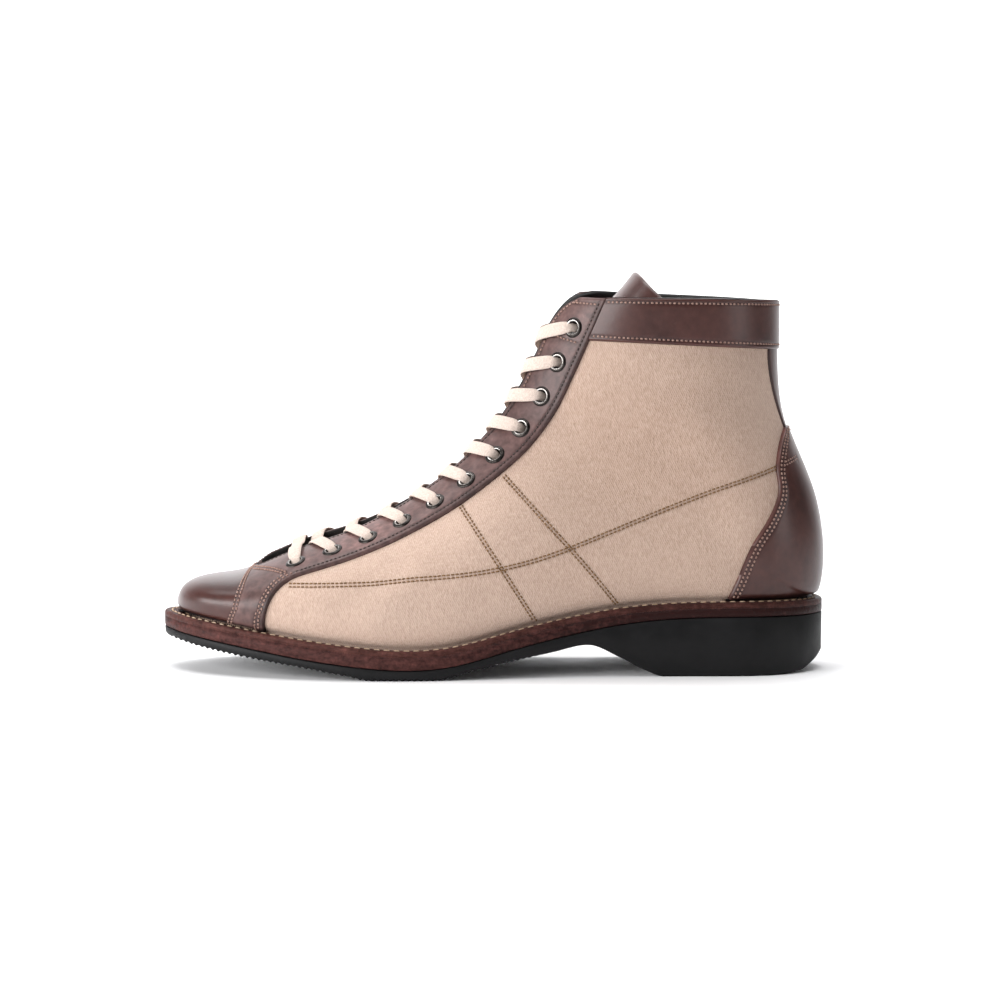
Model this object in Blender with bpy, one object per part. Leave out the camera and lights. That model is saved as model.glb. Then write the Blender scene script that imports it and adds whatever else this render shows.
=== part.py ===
"""A left canvas boot, laced to the toe, built from the pieces that a maker puts together.

Lengths are in millimetres. X runs from the toe (minus) to the heel (plus), Y from the outer
side of the foot (minus) to the inner side (plus) and Z up from the floor.
"""

import math

import bmesh
import bpy
import numpy as np
from mathutils import Vector

MM = 0.001
GAP = 0.3  # air between two pieces that lie on each other
SHARP = math.radians(50.0)  # edges that bend more than this are drawn sharp

# Sizes of the layers
WALL = 2.0  # canvas and lining together
LEATHER = 1.2  # overlays that stand proud of the canvas
OVERLAY_GAP = 0.5  # air under them, at the corners of their facets
WELT_THICK = 2.7
WELT_REACH = 6.6  # from the foot of the upper to the edge of the sole
INSOLE_THICK = 3.0
TONGUE_THICK = 1.6

# Throat and lacing
THROAT_START = 3.76  # station where the throat begins, behind the toe cap
THROAT_HALF = 9.6  # half width of the throat there
THROAT_SPREAD = 0.02  # what each station adds to the half width
THROAT_ROUND = 7.0  # length of the rounded front end
CORNER_ROUND = 16.0  # radius of the stay's top corner
INNER_RAISE = 0.30  # stations by which the collar is higher in front on the inner side
RAISE_START = 15.0  # station where this begins, and the turns where it is whole and where it ends
RAISE_FRONT = 0.3
RAISE_BACK = 0.9
EYELETS = 11  # on each side
EYELET_HOLE = 2.3
EYELET_BARREL = 2.8
EYELET_FLANGE = 4.6
EYELET_PROUD = 0.8
EYELET_SIDES = 8
HOLE_SIDES = 6
HOLE_RADIUS = 3.7  # to the corners, clear of the barrel
LACE_WIDE = 6.6
LACE_THICK = 1.1

SIDES = {"outer": -1, "inner": 1}

# Under side of the rubber: toe spring, flat tread, arch, heel breast, flat heel, bevel
TREAD_COLUMNS = ("place", "x", "z")
TREAD = (
    ("toe", -154.0, 15.6),
    ("toe_spring", -121.0, 10.3),
    ("ball_front", -84.0, 5.0),
    ("roll", -66.0, 2.0),
    ("flat_front", -54.0, 0.0),
    ("flat_back", -27.0, 0.0),
    ("arch_front", -8.0, 4.3),
    ("arch", 27.0, 11.8),
    ("breast_top", 42.0, 14.6),
    ("breast", 57.0, 8.6),
    ("breast_foot", 68.0, 2.9),
    ("heel_front", 77.0, 0.0),
    ("heel_back", 128.0, 0.0),
    ("bevel_low", 139.0, 1.3),
    ("bevel", 146.0, 4.7),
    ("bevel_top", 152.0, 9.0),
)

# Top of the welt along the foot
SEAT_COLUMNS = ("place", "x", "z")
SEAT = (
    ("toe", -154.0, 26.6),
    ("toe_spring", -120.0, 22.4),
    ("ball_front", -84.0, 17.2),
    ("ball", -55.0, 14.0),
    ("ball_back", -33.0, 13.2),
    ("waist_front", -15.0, 15.2),
    ("waist", 5.0, 20.2),
    ("arch", 30.0, 26.0),
    ("heel_front", 58.0, 30.8),
    ("heel", 85.0, 32.9),
    ("heel_back", 152.0, 32.7),
)

# Thickness of the leather midsole
MIDSOLE_COLUMNS = ("place", "x", "thick")
MIDSOLE = (
    ("toe", -154.0, 4.2),
    ("ball", -45.0, 5.4),
    ("waist", 30.0, 4.6),
    ("heel", 85.0, 3.6),
    ("heel_back", 152.0, 3.4),
)

# Outline of the foot of the upper, from the toe along the outer side and back along the inner
FOOT_COLUMNS = ("place", "x", "y")
FOOT = (
    ("toe_tip", -146.0, 5.0),
    ("toe_outer", -142.0, -7.2),
    ("toe_corner_outer", -133.0, -18.9),
    ("toe_side_outer", -118.5, -29.2),
    ("cap_outer", -98.0, -38.0),
    ("ball_front_outer", -70.0, -45.0),
    ("ball_outer", -40.0, -47.2),
    ("ball_back_outer", -10.0, -43.8),
    ("waist_outer", 25.0, -36.5),
    ("heel_front_outer", 60.0, -31.5),
    ("heel_outer", 95.0, -30.5),
    ("heel_side_outer", 120.0, -28.4),
    ("heel_corner_outer", 136.0, -19.0),
    ("heel_end", 144.8, 0.0),
    ("heel_corner_inner", 136.0, 19.0),
    ("heel_side_inner", 120.0, 28.0),
    ("heel_inner", 95.0, 29.6),
    ("heel_front_inner", 60.0, 27.6),
    ("waist_inner", 30.0, 26.2),
    ("ball_back_inner", 0.0, 31.0),
    ("ball_waist_inner", -30.0, 39.5),
    ("ball_inner", -62.0, 43.8),
    ("cap_inner", -92.0, 41.0),
    ("toe_side_inner", -115.5, 34.2),
    ("toe_corner_inner", -133.0, 24.4),
    ("toe_inner", -142.0, 15.7),
)

# Sections of the upper. Each lies in a plane across the boot, from its top point on the ridge
# to its bottom point at the foot or on the back, whose height is given over the welt.
# ridge_y, outer_y and inner_y are the ridge and the widest points, widest is their share of the
# way up and crown is the exponent of the upper quarter.
SECTION_COLUMNS = ("station", "top_x", "top_z", "bottom_x", "rise",
                   "ridge_y", "outer_y", "inner_y", "widest", "crown")
SECTIONS = (
    ("toe_tip", -145.6, 31.4, -145.9, 0.0, 5.0, 5.0, 5.0, 0.40, 2.20),
    ("toe_front", -142.0, 37.2, -142.0, 0.0, 4.6, -8.8, 17.4, 0.40, 2.25),
    ("toe_box", -132.8, 40.8, -132.5, 0.0, 4.0, -22.2, 27.6, 0.40, 2.30),
    ("toe_back", -120.0, 42.6, -119.5, 0.0, 3.0, -32.4, 36.2, 0.40, 2.30),
    ("cap", -107.0, 46.8, -103.0, 0.0, 2.2, -40.8, 42.8, 0.38, 2.20),
    ("vamp", -86.0, 55.8, -80.0, 0.0, 1.6, -47.4, 47.0, 0.36, 2.00),
    ("ball", -62.0, 64.5, -50.0, 0.0, 1.5, -51.0, 47.6, 0.34, 1.90),
    ("waist", -36.0, 79.6, -8.0, 0.0, 1.4, -49.2, 44.4, 0.36, 1.85),
    ("instep", -17.0, 94.8, 35.0, 0.0, 1.0, -45.0, 41.5, 0.38, 1.85),
    ("instep_high", -6.4, 106.4, 82.0, 0.0, 0.6, -39.8, 38.2, 0.36, 2.04),
    ("heel_seat", 0.2, 114.2, 120.0, 0.0, 0.3, -36.8, 36.2, 0.31, 2.22),
    ("heel_end", 4.6, 120.6, 144.8, 0.0, 0.0, -35.8, 35.4, 0.30, 2.34),
    ("heel_bulge", 8.4, 127.2, 150.2, 23.0, 0.0, -35.2, 35.2, 0.32, 2.25),
    ("heel_top", 12.3, 134.4, 144.8, 51.0, 0.0, -34.8, 34.8, 0.36, 2.15),
    ("ankle_low", 16.5, 142.4, 133.4, 79.0, 0.0, -34.5, 34.5, 0.42, 2.05),
    ("ankle", 20.8, 151.2, 129.6, 104.0, 0.0, -34.6, 34.6, 0.46, 2.00),
    ("band", 25.6, 160.6, 129.4, 120.0, 0.0, -35.6, 35.6, 0.48, 2.00),
    ("collar", 30.8, 170.2, 129.4, 135.6, 0.0, -36.6, 36.6, 0.50, 2.00),
    ("over_collar", 36.2, 182.0, 130.0, 148.0, 0.0, -37.4, 37.4, 0.50, 2.00),
)
STATION = {row[0]: number for number, row in enumerate(SECTIONS)}
HEEL_END = STATION["heel_end"]
COLLAR = STATION["collar"]
HALF_WAY = 0.5  # place round the section of its widest point
LOW_SWEEP = math.radians(62.0)  # angle of the lower quarter where the upper stands in the welt
CLOSE_START = 8.0  # stations between which that angle begins to follow the closing heel
CLOSE_WHOLE = 10.0

# Steps of the upper's mesh between stations
SPAN_COLUMNS = ("start", "stop", "steps")
UPPER_SPANS = (
    (0.0, 1.0, 3),
    (1.0, THROAT_START, 5),
    (THROAT_START, 4.3, 3),
    (4.3, 7.0, 4),
    (7.0, 10.0, 7),
    (10.0, HEEL_END, 4),
    (HEEL_END, 12.0, 2),
    (12.0, 15.5, 5),
    (15.5, COLLAR, 5),
)
UPPER_ROUND = 8  # steps of the upper's mesh round each side

# Steps of the sole's meshes, and the least distance between two of them
PLATE_STEPS = 32
PLATE_NEAR = 1.5
WELT_STEPS = 60
WELT_INNER = 0.9  # from the foot of the upper
WELT_CLEAR = 2.2  # overlays end this far over the welt

# Rear edge of the toe cap: station at the welt, what the ridge adds to it, and its bend
CAP_WELT = 2.88
CAP_RIDGE = 0.85
CAP_BEND = 1.6
CAP_GAP = 0.03  # stations between the cap and the band behind it
CAP_ROUND = 8
CAP_LONG = 7

# Eyelet stay with its band down to the welt, row by row from the welt to the collar.
# The front edge is a share of the way down the toe cap's edge until the throat begins, then the
# throat's edge at a station. The rear edge is given in the side view.
STAY_COLUMNS = ("place", "cap_share", "station", "rear_x", "rear_z")
STAY = (
    ("welt", 1.00, THROAT_START, -102.4, 20.4),
    ("band", 0.72, THROAT_START, -101.8, 28.5),
    ("bend", 0.45, THROAT_START, -98.3, 36.9),
    ("corner", 0.18, THROAT_START, -92.8, 42.4),
    ("throat", 0.00, THROAT_START, -87.0, 45.2),
    ("first_eyelet", 0.00, 4.45, -79.0, 47.7),
    ("vamp", 0.00, 5.40, -62.0, 53.2),
    ("ball", 0.00, 6.50, -40.0, 62.6),
    ("waist", 0.00, 7.60, -15.3, 76.6),
    ("instep", 0.00, 9.00, 4.3, 91.4),
    ("instep_high", 0.00, 10.70, 17.0, 103.2),
    ("shin", 0.00, 12.50, 28.4, 119.0),
    ("ankle", 0.00, 14.50, 37.6, 138.0),
    ("collar", 0.00, COLLAR, 51.5, 170.0),
)
STAY_SPANS = (
    (0.0, 4.0, 11),
    (4.0, 8.0, 6),
    (8.0, 12.0, 9),
    (12.0, 13.0, 6),
)
STAY_WIDE = 3
STAY_INSET = 0.4  # from the throat's edge
EYELET_SHARE = 0.65  # place of the eyelets across the stay
EYELET_FIRST = 4.80  # and of the first and last along its rows
EYELET_LAST = 12.55

# Front edge of the heel counter in the side view, from the welt to its top on the back
COUNTER_COLUMNS = ("place", "x", "z", "back_station")
COUNTER = (
    ("welt", 105.5, 34.8, 11.24),
    ("lower", 110.5, 46.0, 11.72),
    ("bulge", 115.5, 58.0, 12.05),
    ("shoulder", 120.8, 66.5, 12.35),
    ("flare", 124.4, 72.5, 12.60),
    ("corner", 127.3, 79.0, 12.85),
    ("hollow", 128.2, 86.0, 13.10),
    ("neck", 127.3, 94.0, 13.40),
    ("top_side", 129.6, 105.0, 13.78),
    ("top", 132.4, 110.8, 14.02),
)
COUNTER_GAP = 1.1  # air under the counter, which bends most
COUNTER_HIGH = 9
COUNTER_WIDE = 9

# Collar band: lower edge in the side view, falling to the back
BAND_FRONT_X = 43.0
BAND_FRONT_Z = 150.6
BAND_FALL = 0.048
BAND_WIDE = 11
BAND_HIGH = 2
BAND_INSET = 0.8  # from the stay

# Tongue: how deep it lies under the ridge, and half its width, at stations
TONGUE_COLUMNS = ("place", "station", "depth", "half")
TONGUE = (
    ("root", 3.40, 4.2, 11.0),
    ("throat", 4.40, 5.8, 19.0),
    ("ball", 6.00, 6.4, 23.0),
    ("instep", 9.00, 8.2, 19.5),
    ("shin", 12.00, 9.6, 19.5),
    ("ankle", 14.50, 12.0, 21.0),
    ("band", 16.00, 17.0, 26.0),
    ("collar", 17.00, 24.0, 30.0),
    ("tip", 18.00, 28.6, 31.0),
)
TONGUE_LONG = 15
TONGUE_WIDE = 6
TONGUE_POINT = 1.02  # stations by which the tongue's corners end below its tip
TONGUE_BEND = 2.2  # and how its top edge bends down to them

# One lacing strand, from the eyelet it enters on top to the far edge it comes from underneath:
# share of the way to the level below, side of the throat, share of the way from the throat's
# edge to the eyelet, depth over the canvas
STRAND_COLUMNS = ("place", "below", "side", "to_eyelet", "depth")
LACE_STRAND = (
    ("eyelet", 0.00, 1.0, 1.0, 4.1),
    ("near_edge", 0.24, 1.0, 0.1, 3.4),
    ("middle", 0.50, 0.0, 0.0, -0.6),
    ("far_edge", 0.72, -1.0, -0.12, -3.5),
    ("under", 0.82, -1.0, 0.55, -3.9),
)
LACE_BAR = (
    ("eyelet", 0.0, 1.0, 1.0, 4.1),
    ("near_edge", 0.0, 1.0, 0.1, 3.2),
    ("middle", 0.0, 0.0, 0.0, 2.6),
    ("far_edge", 0.0, -1.0, 0.1, 3.2),
    ("far_eyelet", 0.0, -1.0, 1.0, 4.1),
)
LACE_LONG = 6
LACE_STEP = 0.4  # one strand of a crossing lies this much over the other


def columns(names, rows):
    """The number columns of a table, by name."""
    numbers = np.array([row[1:] for row in rows], dtype=float)
    return {name: numbers[:, place] for place, name in enumerate(names[1:])}


def smooth_slopes(x, y):
    """Slopes at the rows for a natural cubic spline."""
    count = len(x)
    step = np.diff(x)
    secant = np.diff(y) / step
    system = np.zeros((count, count))
    right = np.zeros(count)
    system[0, :2] = 2.0, 1.0
    right[0] = 3.0 * secant[0]
    system[-1, -2:] = 1.0, 2.0
    right[-1] = 3.0 * secant[-1]
    for row in range(1, count - 1):
        before, after = step[row - 1], step[row]
        system[row, row - 1:row + 2] = after, 2.0 * (before + after), before
        right[row] = 3.0 * (after * secant[row - 1] + before * secant[row])
    return np.linalg.solve(system, right)


def steady_slopes(x, y):
    """Slopes at the rows for a spline that keeps flats flat and adds no swing."""
    step = np.diff(x)
    secant = np.diff(y) / step
    slope = np.zeros(len(x))
    slope[0], slope[-1] = secant[0], secant[-1]
    for row in range(1, len(x) - 1):
        before, after = secant[row - 1], secant[row]
        if before * after > 0.0:
            slope[row] = 2.0 * before * after / (before + after)
    return slope


def through(x, y, slopes):
    """Function of x that runs through the rows with the slopes given."""
    slope = slopes(x, y)

    def value(at):
        at = np.clip(np.asarray(at, dtype=float), x[0], x[-1])
        row = np.clip(np.searchsorted(x, at, side="right") - 1, 0, len(x) - 2)
        step = x[row + 1] - x[row]
        t = (at - x[row]) / step
        rest = 1.0 - t
        return (y[row] * (1.0 + 2.0 * t) * rest ** 2 + y[row + 1] * (3.0 - 2.0 * t) * t ** 2
                + step * (slope[row] * t * rest ** 2 - slope[row + 1] * rest * t ** 2))

    return value


tread_rows = columns(TREAD_COLUMNS, TREAD)
seat_rows = columns(SEAT_COLUMNS, SEAT)
midsole_rows = columns(MIDSOLE_COLUMNS, MIDSOLE)
foot_rows = columns(FOOT_COLUMNS, FOOT)
section_rows = columns(SECTION_COLUMNS, SECTIONS)
stay_rows = columns(STAY_COLUMNS, STAY)
counter_rows = columns(COUNTER_COLUMNS, COUNTER)
tongue_rows = columns(TONGUE_COLUMNS, TONGUE)

tread_z = through(tread_rows["x"], tread_rows["z"], steady_slopes)
seat_z = through(seat_rows["x"], seat_rows["z"], smooth_slopes)
midsole_thick = through(midsole_rows["x"], midsole_rows["thick"], steady_slopes)


def midsole_top(x):
    """Height of the leather midsole's upper face."""
    return seat_z(x) - WELT_THICK - GAP


def midsole_bottom(x):
    """Height of the leather midsole's lower face."""
    return midsole_top(x) - midsole_thick(x)


def rubber_top(x):
    """Height of the rubber's upper face."""
    return midsole_bottom(x) - GAP


def foot_outline(reach, count=360):
    """Closed outline round the foot of the upper, set outward by a distance."""
    size = len(foot_rows["x"])
    x = np.tile(foot_rows["x"], 3)
    y = np.tile(foot_rows["y"], 3)
    length = np.concatenate([[0.0], np.cumsum(np.hypot(np.diff(x), np.diff(y)))])
    at = np.linspace(length[size], length[2 * size], count, endpoint=False)
    line = np.stack([through(length, x, smooth_slopes)(at), through(length, y, smooth_slopes)(at)], axis=1)
    run = np.roll(line, -1, axis=0) - np.roll(line, 1, axis=0)
    away = np.stack([run[:, 1], -run[:, 0]], axis=1) / np.linalg.norm(run, axis=1)[:, None]
    return line + reach * away


def outline_edges(reach):
    """Outer and inner edge of an outline, each as x and y with x rising."""
    line = foot_outline(reach, 2400)
    line = np.roll(line, -int(np.argmin(line[:, 0])), axis=0)
    heel = int(np.argmax(line[:, 0]))
    outer = line[:heel + 1]
    inner = np.concatenate([line[heel:], line[:1]])[::-1]
    return {-1: outer, 1: inner}


foot_edges = outline_edges(0.0)
sole_outline = foot_outline(WELT_REACH)
sole_middle = np.append((sole_outline.min(axis=0) + sole_outline.max(axis=0)) / 2.0, 0.0)

STEADY_COLUMNS = ("rise",)
station_numbers = np.arange(len(SECTIONS), dtype=float)
section_curve = {}
for column, numbers in section_rows.items():
    slopes = steady_slopes if column in STEADY_COLUMNS else smooth_slopes
    section_curve[column] = through(station_numbers, numbers, slopes)


def section(station):
    """Every size of the section at a station, between the rows of the table."""
    sizes = {name: curve(station) for name, curve in section_curve.items()}
    sizes["bottom_z"] = seat_z(sizes["bottom_x"]) + GAP + sizes["rise"]
    return sizes


def smooth_step(share):
    """Soft step from 0 to 1."""
    share = np.clip(share, 0.0, 1.0)
    return share ** 2 * (3.0 - 2.0 * share)


def foot_y(x, station, side):
    """Place of the foot of the upper, or the middle of the back above it."""
    edge = foot_edges[side]
    return np.where(station >= HEEL_END, 0.0, np.interp(x, edge[:, 0], edge[:, 1]))


def lower_sweep(size, station):
    """Angle of a section's lower quarter, which opens as the foot closes round the heel."""
    foot = foot_y(size["bottom_x"], station, -1)
    closing = np.arccos(np.clip(foot / np.minimum(size["outer_y"], -1.0), 0.0, 1.0))
    share = smooth_step((station - CLOSE_START) / (CLOSE_WHOLE - CLOSE_START))
    return LOW_SWEEP + share * (closing - LOW_SWEEP)


def surface(station, turn, side):
    """Point of the upper's outer face. turn runs from 0 on the ridge to 1 at the foot or back."""
    size = section(station)
    wide = size["outer_y"] if side < 0 else size["inner_y"]
    foot = foot_y(size["bottom_x"], station, side)
    upper = np.clip(turn / HALF_WAY, 0.0, 1.0) * math.pi / 2
    sweep = lower_sweep(size, station)
    lower = np.clip((turn - HALF_WAY) / (1.0 - HALF_WAY), 0.0, 1.0) * sweep
    crown = 2.0 / size["crown"]
    y_upper = size["ridge_y"] + (wide - size["ridge_y"]) * np.sin(upper) ** crown
    y_lower = foot + (wide - foot) * (np.cos(lower) - np.cos(sweep)) / (1.0 - np.cos(sweep))
    v_upper = size["widest"] + (1.0 - size["widest"]) * np.clip(np.cos(upper), 0.0, 1.0) ** crown
    v_lower = size["widest"] * (1.0 - np.sin(lower) / np.sin(sweep))
    high = turn <= HALF_WAY
    y = np.where(high, y_upper, y_lower)
    v = np.where(high, v_upper, v_lower)
    x = size["bottom_x"] + v * (size["top_x"] - size["bottom_x"])
    z = size["bottom_z"] + v * (size["top_z"] - size["bottom_z"])
    return np.stack(np.broadcast_arrays(x, y, z), axis=-1)


def outward(station, turn, side):
    """Unit normal of the upper's outer face."""
    step = 0.004
    a = np.clip(station, 0.03, len(SECTIONS) - 1.03)
    b = np.clip(turn, 0.006, 0.994)
    along = surface(a + step, b, side) - surface(a - step, b, side)
    round_it = surface(a, b + step, side) - surface(a, b - step, side)
    normal = np.cross(along, round_it) * side
    return normal / np.linalg.norm(normal, axis=-1)[..., None]


def skin(station, turn, side, depth):
    """Point at a depth over the upper's outer face. Both sides agree on the lines they share."""
    station, turn = np.broadcast_arrays(np.asarray(station, float), np.asarray(turn, float))
    here = surface(station, turn, side) + depth * outward(station, turn, side)
    there = surface(station, turn, -side) + depth * outward(station, turn, -side)
    shared = (station <= 0.0) | (turn <= 0.0) | ((turn >= 1.0) & (station >= HEEL_END))
    return np.where(shared[..., None], (here + there) / 2.0, here)


def bisect(rises, low, high):
    """Where a rising function passes zero, between two bounds, for arrays."""
    low, high = np.array(low, float), np.array(high, float)
    for _ in range(40):
        middle = (low + high) / 2.0
        over = rises(middle) > 0.0
        high = np.where(over, middle, high)
        low = np.where(over, low, middle)
    return (low + high) / 2.0


def locate(x, z):
    """Station and turn of the outer face's point seen at x and z in the side view."""
    x, z = np.asarray(x, float), np.asarray(z, float)

    def behind(station):
        size = section(station)
        across = size["top_x"] - size["bottom_x"]
        up = size["top_z"] - size["bottom_z"]
        return across * (z - size["bottom_z"]) - up * (x - size["bottom_x"])

    station = bisect(behind, np.zeros_like(x), np.full_like(x, COLLAR))
    size = section(station)
    across = size["top_x"] - size["bottom_x"]
    up = size["top_z"] - size["bottom_z"]
    v = ((x - size["bottom_x"]) * across + (z - size["bottom_z"]) * up) / (across ** 2 + up ** 2)
    v = np.clip(v, 0.0, 1.0)
    upper = np.clip((v - size["widest"]) / (1.0 - size["widest"]), 0.0, 1.0) ** (size["crown"] / 2.0)
    sweep = lower_sweep(size, station)
    lower = np.arcsin(np.clip(1.0 - v / size["widest"], 0.0, 1.0) * np.sin(sweep)) / sweep
    turn_upper = np.arccos(upper) * 2.0 / math.pi * HALF_WAY
    turn_lower = HALF_WAY + lower * (1.0 - HALF_WAY)
    return station, np.where(v >= size["widest"], turn_upper, turn_lower)


def welt_turn(station, side, clear):
    """Turn at which the outer face comes down to a height over the welt, or 1 where it stays above."""
    station = np.asarray(station, float)

    def under(turn):
        point = surface(station, turn, side)
        return seat_z(point[..., 0]) + clear - point[..., 2]

    low = np.full_like(station, 0.3)
    whole = np.ones_like(station)
    return np.where(under(whole) < 0.0, 1.0, bisect(under, low, whole))


ridge_stations = np.linspace(THROAT_START, COLLAR, 300)
ridge_steps = np.diff(section_curve["top_x"](ridge_stations)) ** 2
ridge_steps += np.diff(section_curve["top_z"](ridge_stations)) ** 2
ridge_length = np.concatenate([[0.0], np.cumsum(np.sqrt(ridge_steps))])


def throat_half(station):
    """Half width of the throat, round in front and spread by the round corners at the collar."""
    along = np.interp(station, ridge_stations, ridge_length)
    front = np.clip(1.0 - along / THROAT_ROUND, 0.0, 1.0)
    half = (THROAT_HALF + THROAT_SPREAD * (station - THROAT_START)) * np.sqrt(1.0 - front ** 2)
    corner = np.clip(1.0 - (ridge_length[-1] - along) / CORNER_ROUND, 0.0, 1.0)
    return half + CORNER_ROUND * (1.0 - np.sqrt(1.0 - corner ** 2))


def turn_at(station, distance, side):
    """Turn of the point at a distance across from the ridge."""
    size = section(station)
    wide = size["outer_y"] if side < 0 else size["inner_y"]
    share = np.clip(distance / np.maximum(np.abs(wide - size["ridge_y"]), 0.001), 0.0, 1.0)
    return np.arcsin(share ** (size["crown"] / 2.0)) * 2.0 / math.pi * HALF_WAY


def throat_turn(station, side):
    """Turn of the throat's edge, 0 in front of the throat."""
    station = np.asarray(station, float)
    return np.where(station <= THROAT_START, 0.0, turn_at(station, throat_half(station), side))


def lifted(station, turn, side):
    """Station on a side, with the collar raised in front on the inner side."""
    share = np.clip((station - RAISE_START) / (COLLAR - RAISE_START), 0.0, 1.0) ** 2
    front = np.clip((RAISE_BACK - turn) / (RAISE_BACK - RAISE_FRONT), 0.0, 1.0)
    return station + INNER_RAISE * (side > 0) * share * front


def stations(spans):
    """Places of a mesh's rows from a table of spans."""
    parts = [np.linspace(start, stop, steps, endpoint=False) for start, stop, steps in spans]
    return np.concatenate(parts + [[spans[-1][1]]])


def plain_material(name, colour, roughness):
    """Plain material of one piece."""
    material = bpy.data.materials.new(name)
    material.use_nodes = True
    shader = material.node_tree.nodes["Principled BSDF"]
    shader.inputs["Base Color"].default_value = (*colour, 1.0)
    shader.inputs["Roughness"].default_value = roughness
    material.diffuse_color = (*colour, 1.0)
    return material


def piece(name, points, faces, material):
    """Object of one closed mesh, from points in millimetres, with the sole's middle at the origin."""
    mesh = bpy.data.meshes.new(name)
    mesh.from_pydata([tuple(point) for point in (np.asarray(points) - sole_middle) * MM], [], faces)
    work = bmesh.new()
    work.from_mesh(mesh)
    bmesh.ops.remove_doubles(work, verts=work.verts, dist=1e-6)
    bmesh.ops.recalc_face_normals(work, faces=work.faces)
    if work.calc_volume(signed=True) < 0.0:
        bmesh.ops.reverse_faces(work, faces=work.faces)
    work.to_mesh(mesh)
    work.free()
    mesh.shade_smooth()
    mesh.set_sharp_from_angle(angle=SHARP)
    mesh.materials.append(material)
    made = bpy.data.objects.new(name, mesh)
    bpy.context.scene.collection.objects.link(made)
    return made


def rim_lines(rows, cols, names):
    """Grid places along the named edges of a sheet."""
    lines = {
        "start": [(0, col) for col in range(cols)],
        "stop": [(rows - 1, col) for col in range(cols)],
        "first": [(row, 0) for row in range(rows)],
        "last": [(row, cols - 1) for row in range(rows)],
    }
    return [lines[name] for name in names]


def solid(name, sheets, material):
    """Closed piece from sheets, each with an outer grid, an inner grid and the rims between them."""
    points, faces = [], []
    for outer, inner, rims in sheets:
        rows, cols = outer.shape[:2]
        base = len(points)
        points.extend(outer.reshape(-1, 3))
        points.extend(inner.reshape(-1, 3))

        def over(row, col):
            return base + row * cols + col

        def under(row, col):
            return base + rows * cols + row * cols + col

        for row in range(rows - 1):
            for col in range(cols - 1):
                square = [(row, col), (row + 1, col), (row + 1, col + 1), (row, col + 1)]
                faces.append([over(*place) for place in square])
                faces.append([under(*place) for place in reversed(square)])
        for line in rims:
            for one, two in zip(line, line[1:]):
                faces.append([over(*one), over(*two), under(*two), under(*one)])
    return piece(name, points, faces, material)


def plate(name, reach, low, high, breaks, material):
    """Sole layer between two heights along the boot, inside an outline."""
    edges = outline_edges(reach)
    start, stop = edges[-1][0, 0], edges[-1][-1, 0]
    spread = (start + stop) / 2 - (stop - start) / 2 * np.cos(np.linspace(0.0, math.pi, PLATE_STEPS + 1))
    kept = [x for x in spread[1:-1] if np.min(np.abs(breaks - x)) > PLATE_NEAR]
    inside = [x for x in breaks if start + PLATE_NEAR < x < stop - PLATE_NEAR]
    x = np.sort(np.concatenate([[start, stop], kept, inside]))
    across = [np.interp(x, edges[side][:, 0], edges[side][:, 1]) for side in (-1, 1)]
    across[1][[0, -1]] = across[0][[0, -1]]
    over = np.stack([np.stack([x, y, high(x)], axis=1) for y in across], axis=1)
    under = np.stack([np.stack([x, y, low(x)], axis=1) for y in across], axis=1)
    return solid(name, [(over, under, rim_lines(len(x), 2, ("first", "last")))], material)


def welt_ring(material):
    """Welt: a strip between the foot of the upper and the edge of the sole."""
    rings = [foot_outline(reach, WELT_STEPS) for reach in (WELT_INNER, WELT_REACH)]
    rings = [np.concatenate([ring, ring[:1]]) for ring in rings]
    over = np.stack([np.column_stack([ring, seat_z(ring[:, 0])]) for ring in rings], axis=1)
    under = np.stack([np.column_stack([ring, midsole_top(ring[:, 0]) + GAP]) for ring in rings], axis=1)
    return solid("welt", [(over, under, rim_lines(len(over), 2, ("first", "last")))], material)


def upper_shell(material):
    """Upper: a hollow wall, open at the collar, along the throat and underneath."""
    a = stations(UPPER_SPANS)
    shares = np.linspace(0.0, 1.0, UPPER_ROUND + 1)
    foot_last = int(np.searchsorted(a, HEEL_END - 1e-6))
    throat_first = int(np.searchsorted(a, THROAT_START - 1e-6))
    sheets = []
    for side in SIDES.values():
        start = throat_turn(a, side)
        turn = start[:, None] + (1.0 - start[:, None]) * shares
        station = lifted(a[:, None], turn, side)
        outer = skin(station, turn, side, 0.0)
        inner = skin(station, turn, side, -WALL)
        skirt = [grid[:foot_last + 1, -1].copy() for grid in (outer, inner)]
        for line in skirt:
            line[:, 2] = midsole_top(line[:, 0]) + GAP
        rows, cols = turn.shape
        collar = rim_lines(rows, cols, ("stop",))
        throat = [[(row, 0) for row in range(throat_first, rows)]]
        sheets.append((outer, inner, collar + throat))
        foot_outer = np.stack([outer[:foot_last + 1, -1], skirt[0]], axis=1)
        foot_inner = np.stack([inner[:foot_last + 1, -1], skirt[1]], axis=1)
        sheets.append((foot_outer, foot_inner, rim_lines(foot_last + 1, 2, ("last",))))
    return solid("upper", sheets, material)


def overlay(name, sheets, gap, material):
    """Leather that lies on the upper, cut between two larger forms of it."""
    made = []
    for station, turn, side, rims in sheets:
        inner = skin(station, turn, side, gap)
        outer = skin(station, turn, side, gap + LEATHER)
        made.append((outer, inner, rim_lines(*station.shape, rims)))
    return solid(name, made, material)


def cap_edge(share):
    """Station of the toe cap's rear edge at a share of the way down to the welt."""
    return CAP_WELT + CAP_RIDGE * (1.0 - share) ** CAP_BEND


def toe_cap(material):
    """Toe cap, from the tip to its curved rear edge."""
    share = np.linspace(0.0, 1.0, CAP_ROUND + 1)
    reach = np.linspace(0.0, 1.0, CAP_LONG + 1)
    sheets = []
    for side in SIDES.values():
        station = reach[:, None] * cap_edge(share)
        turn = share * welt_turn(station, side, WELT_CLEAR)
        sheets.append((station, turn, side, ("stop", "last")))
    return overlay("toe_cap", sheets, OVERLAY_GAP, material)


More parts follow.
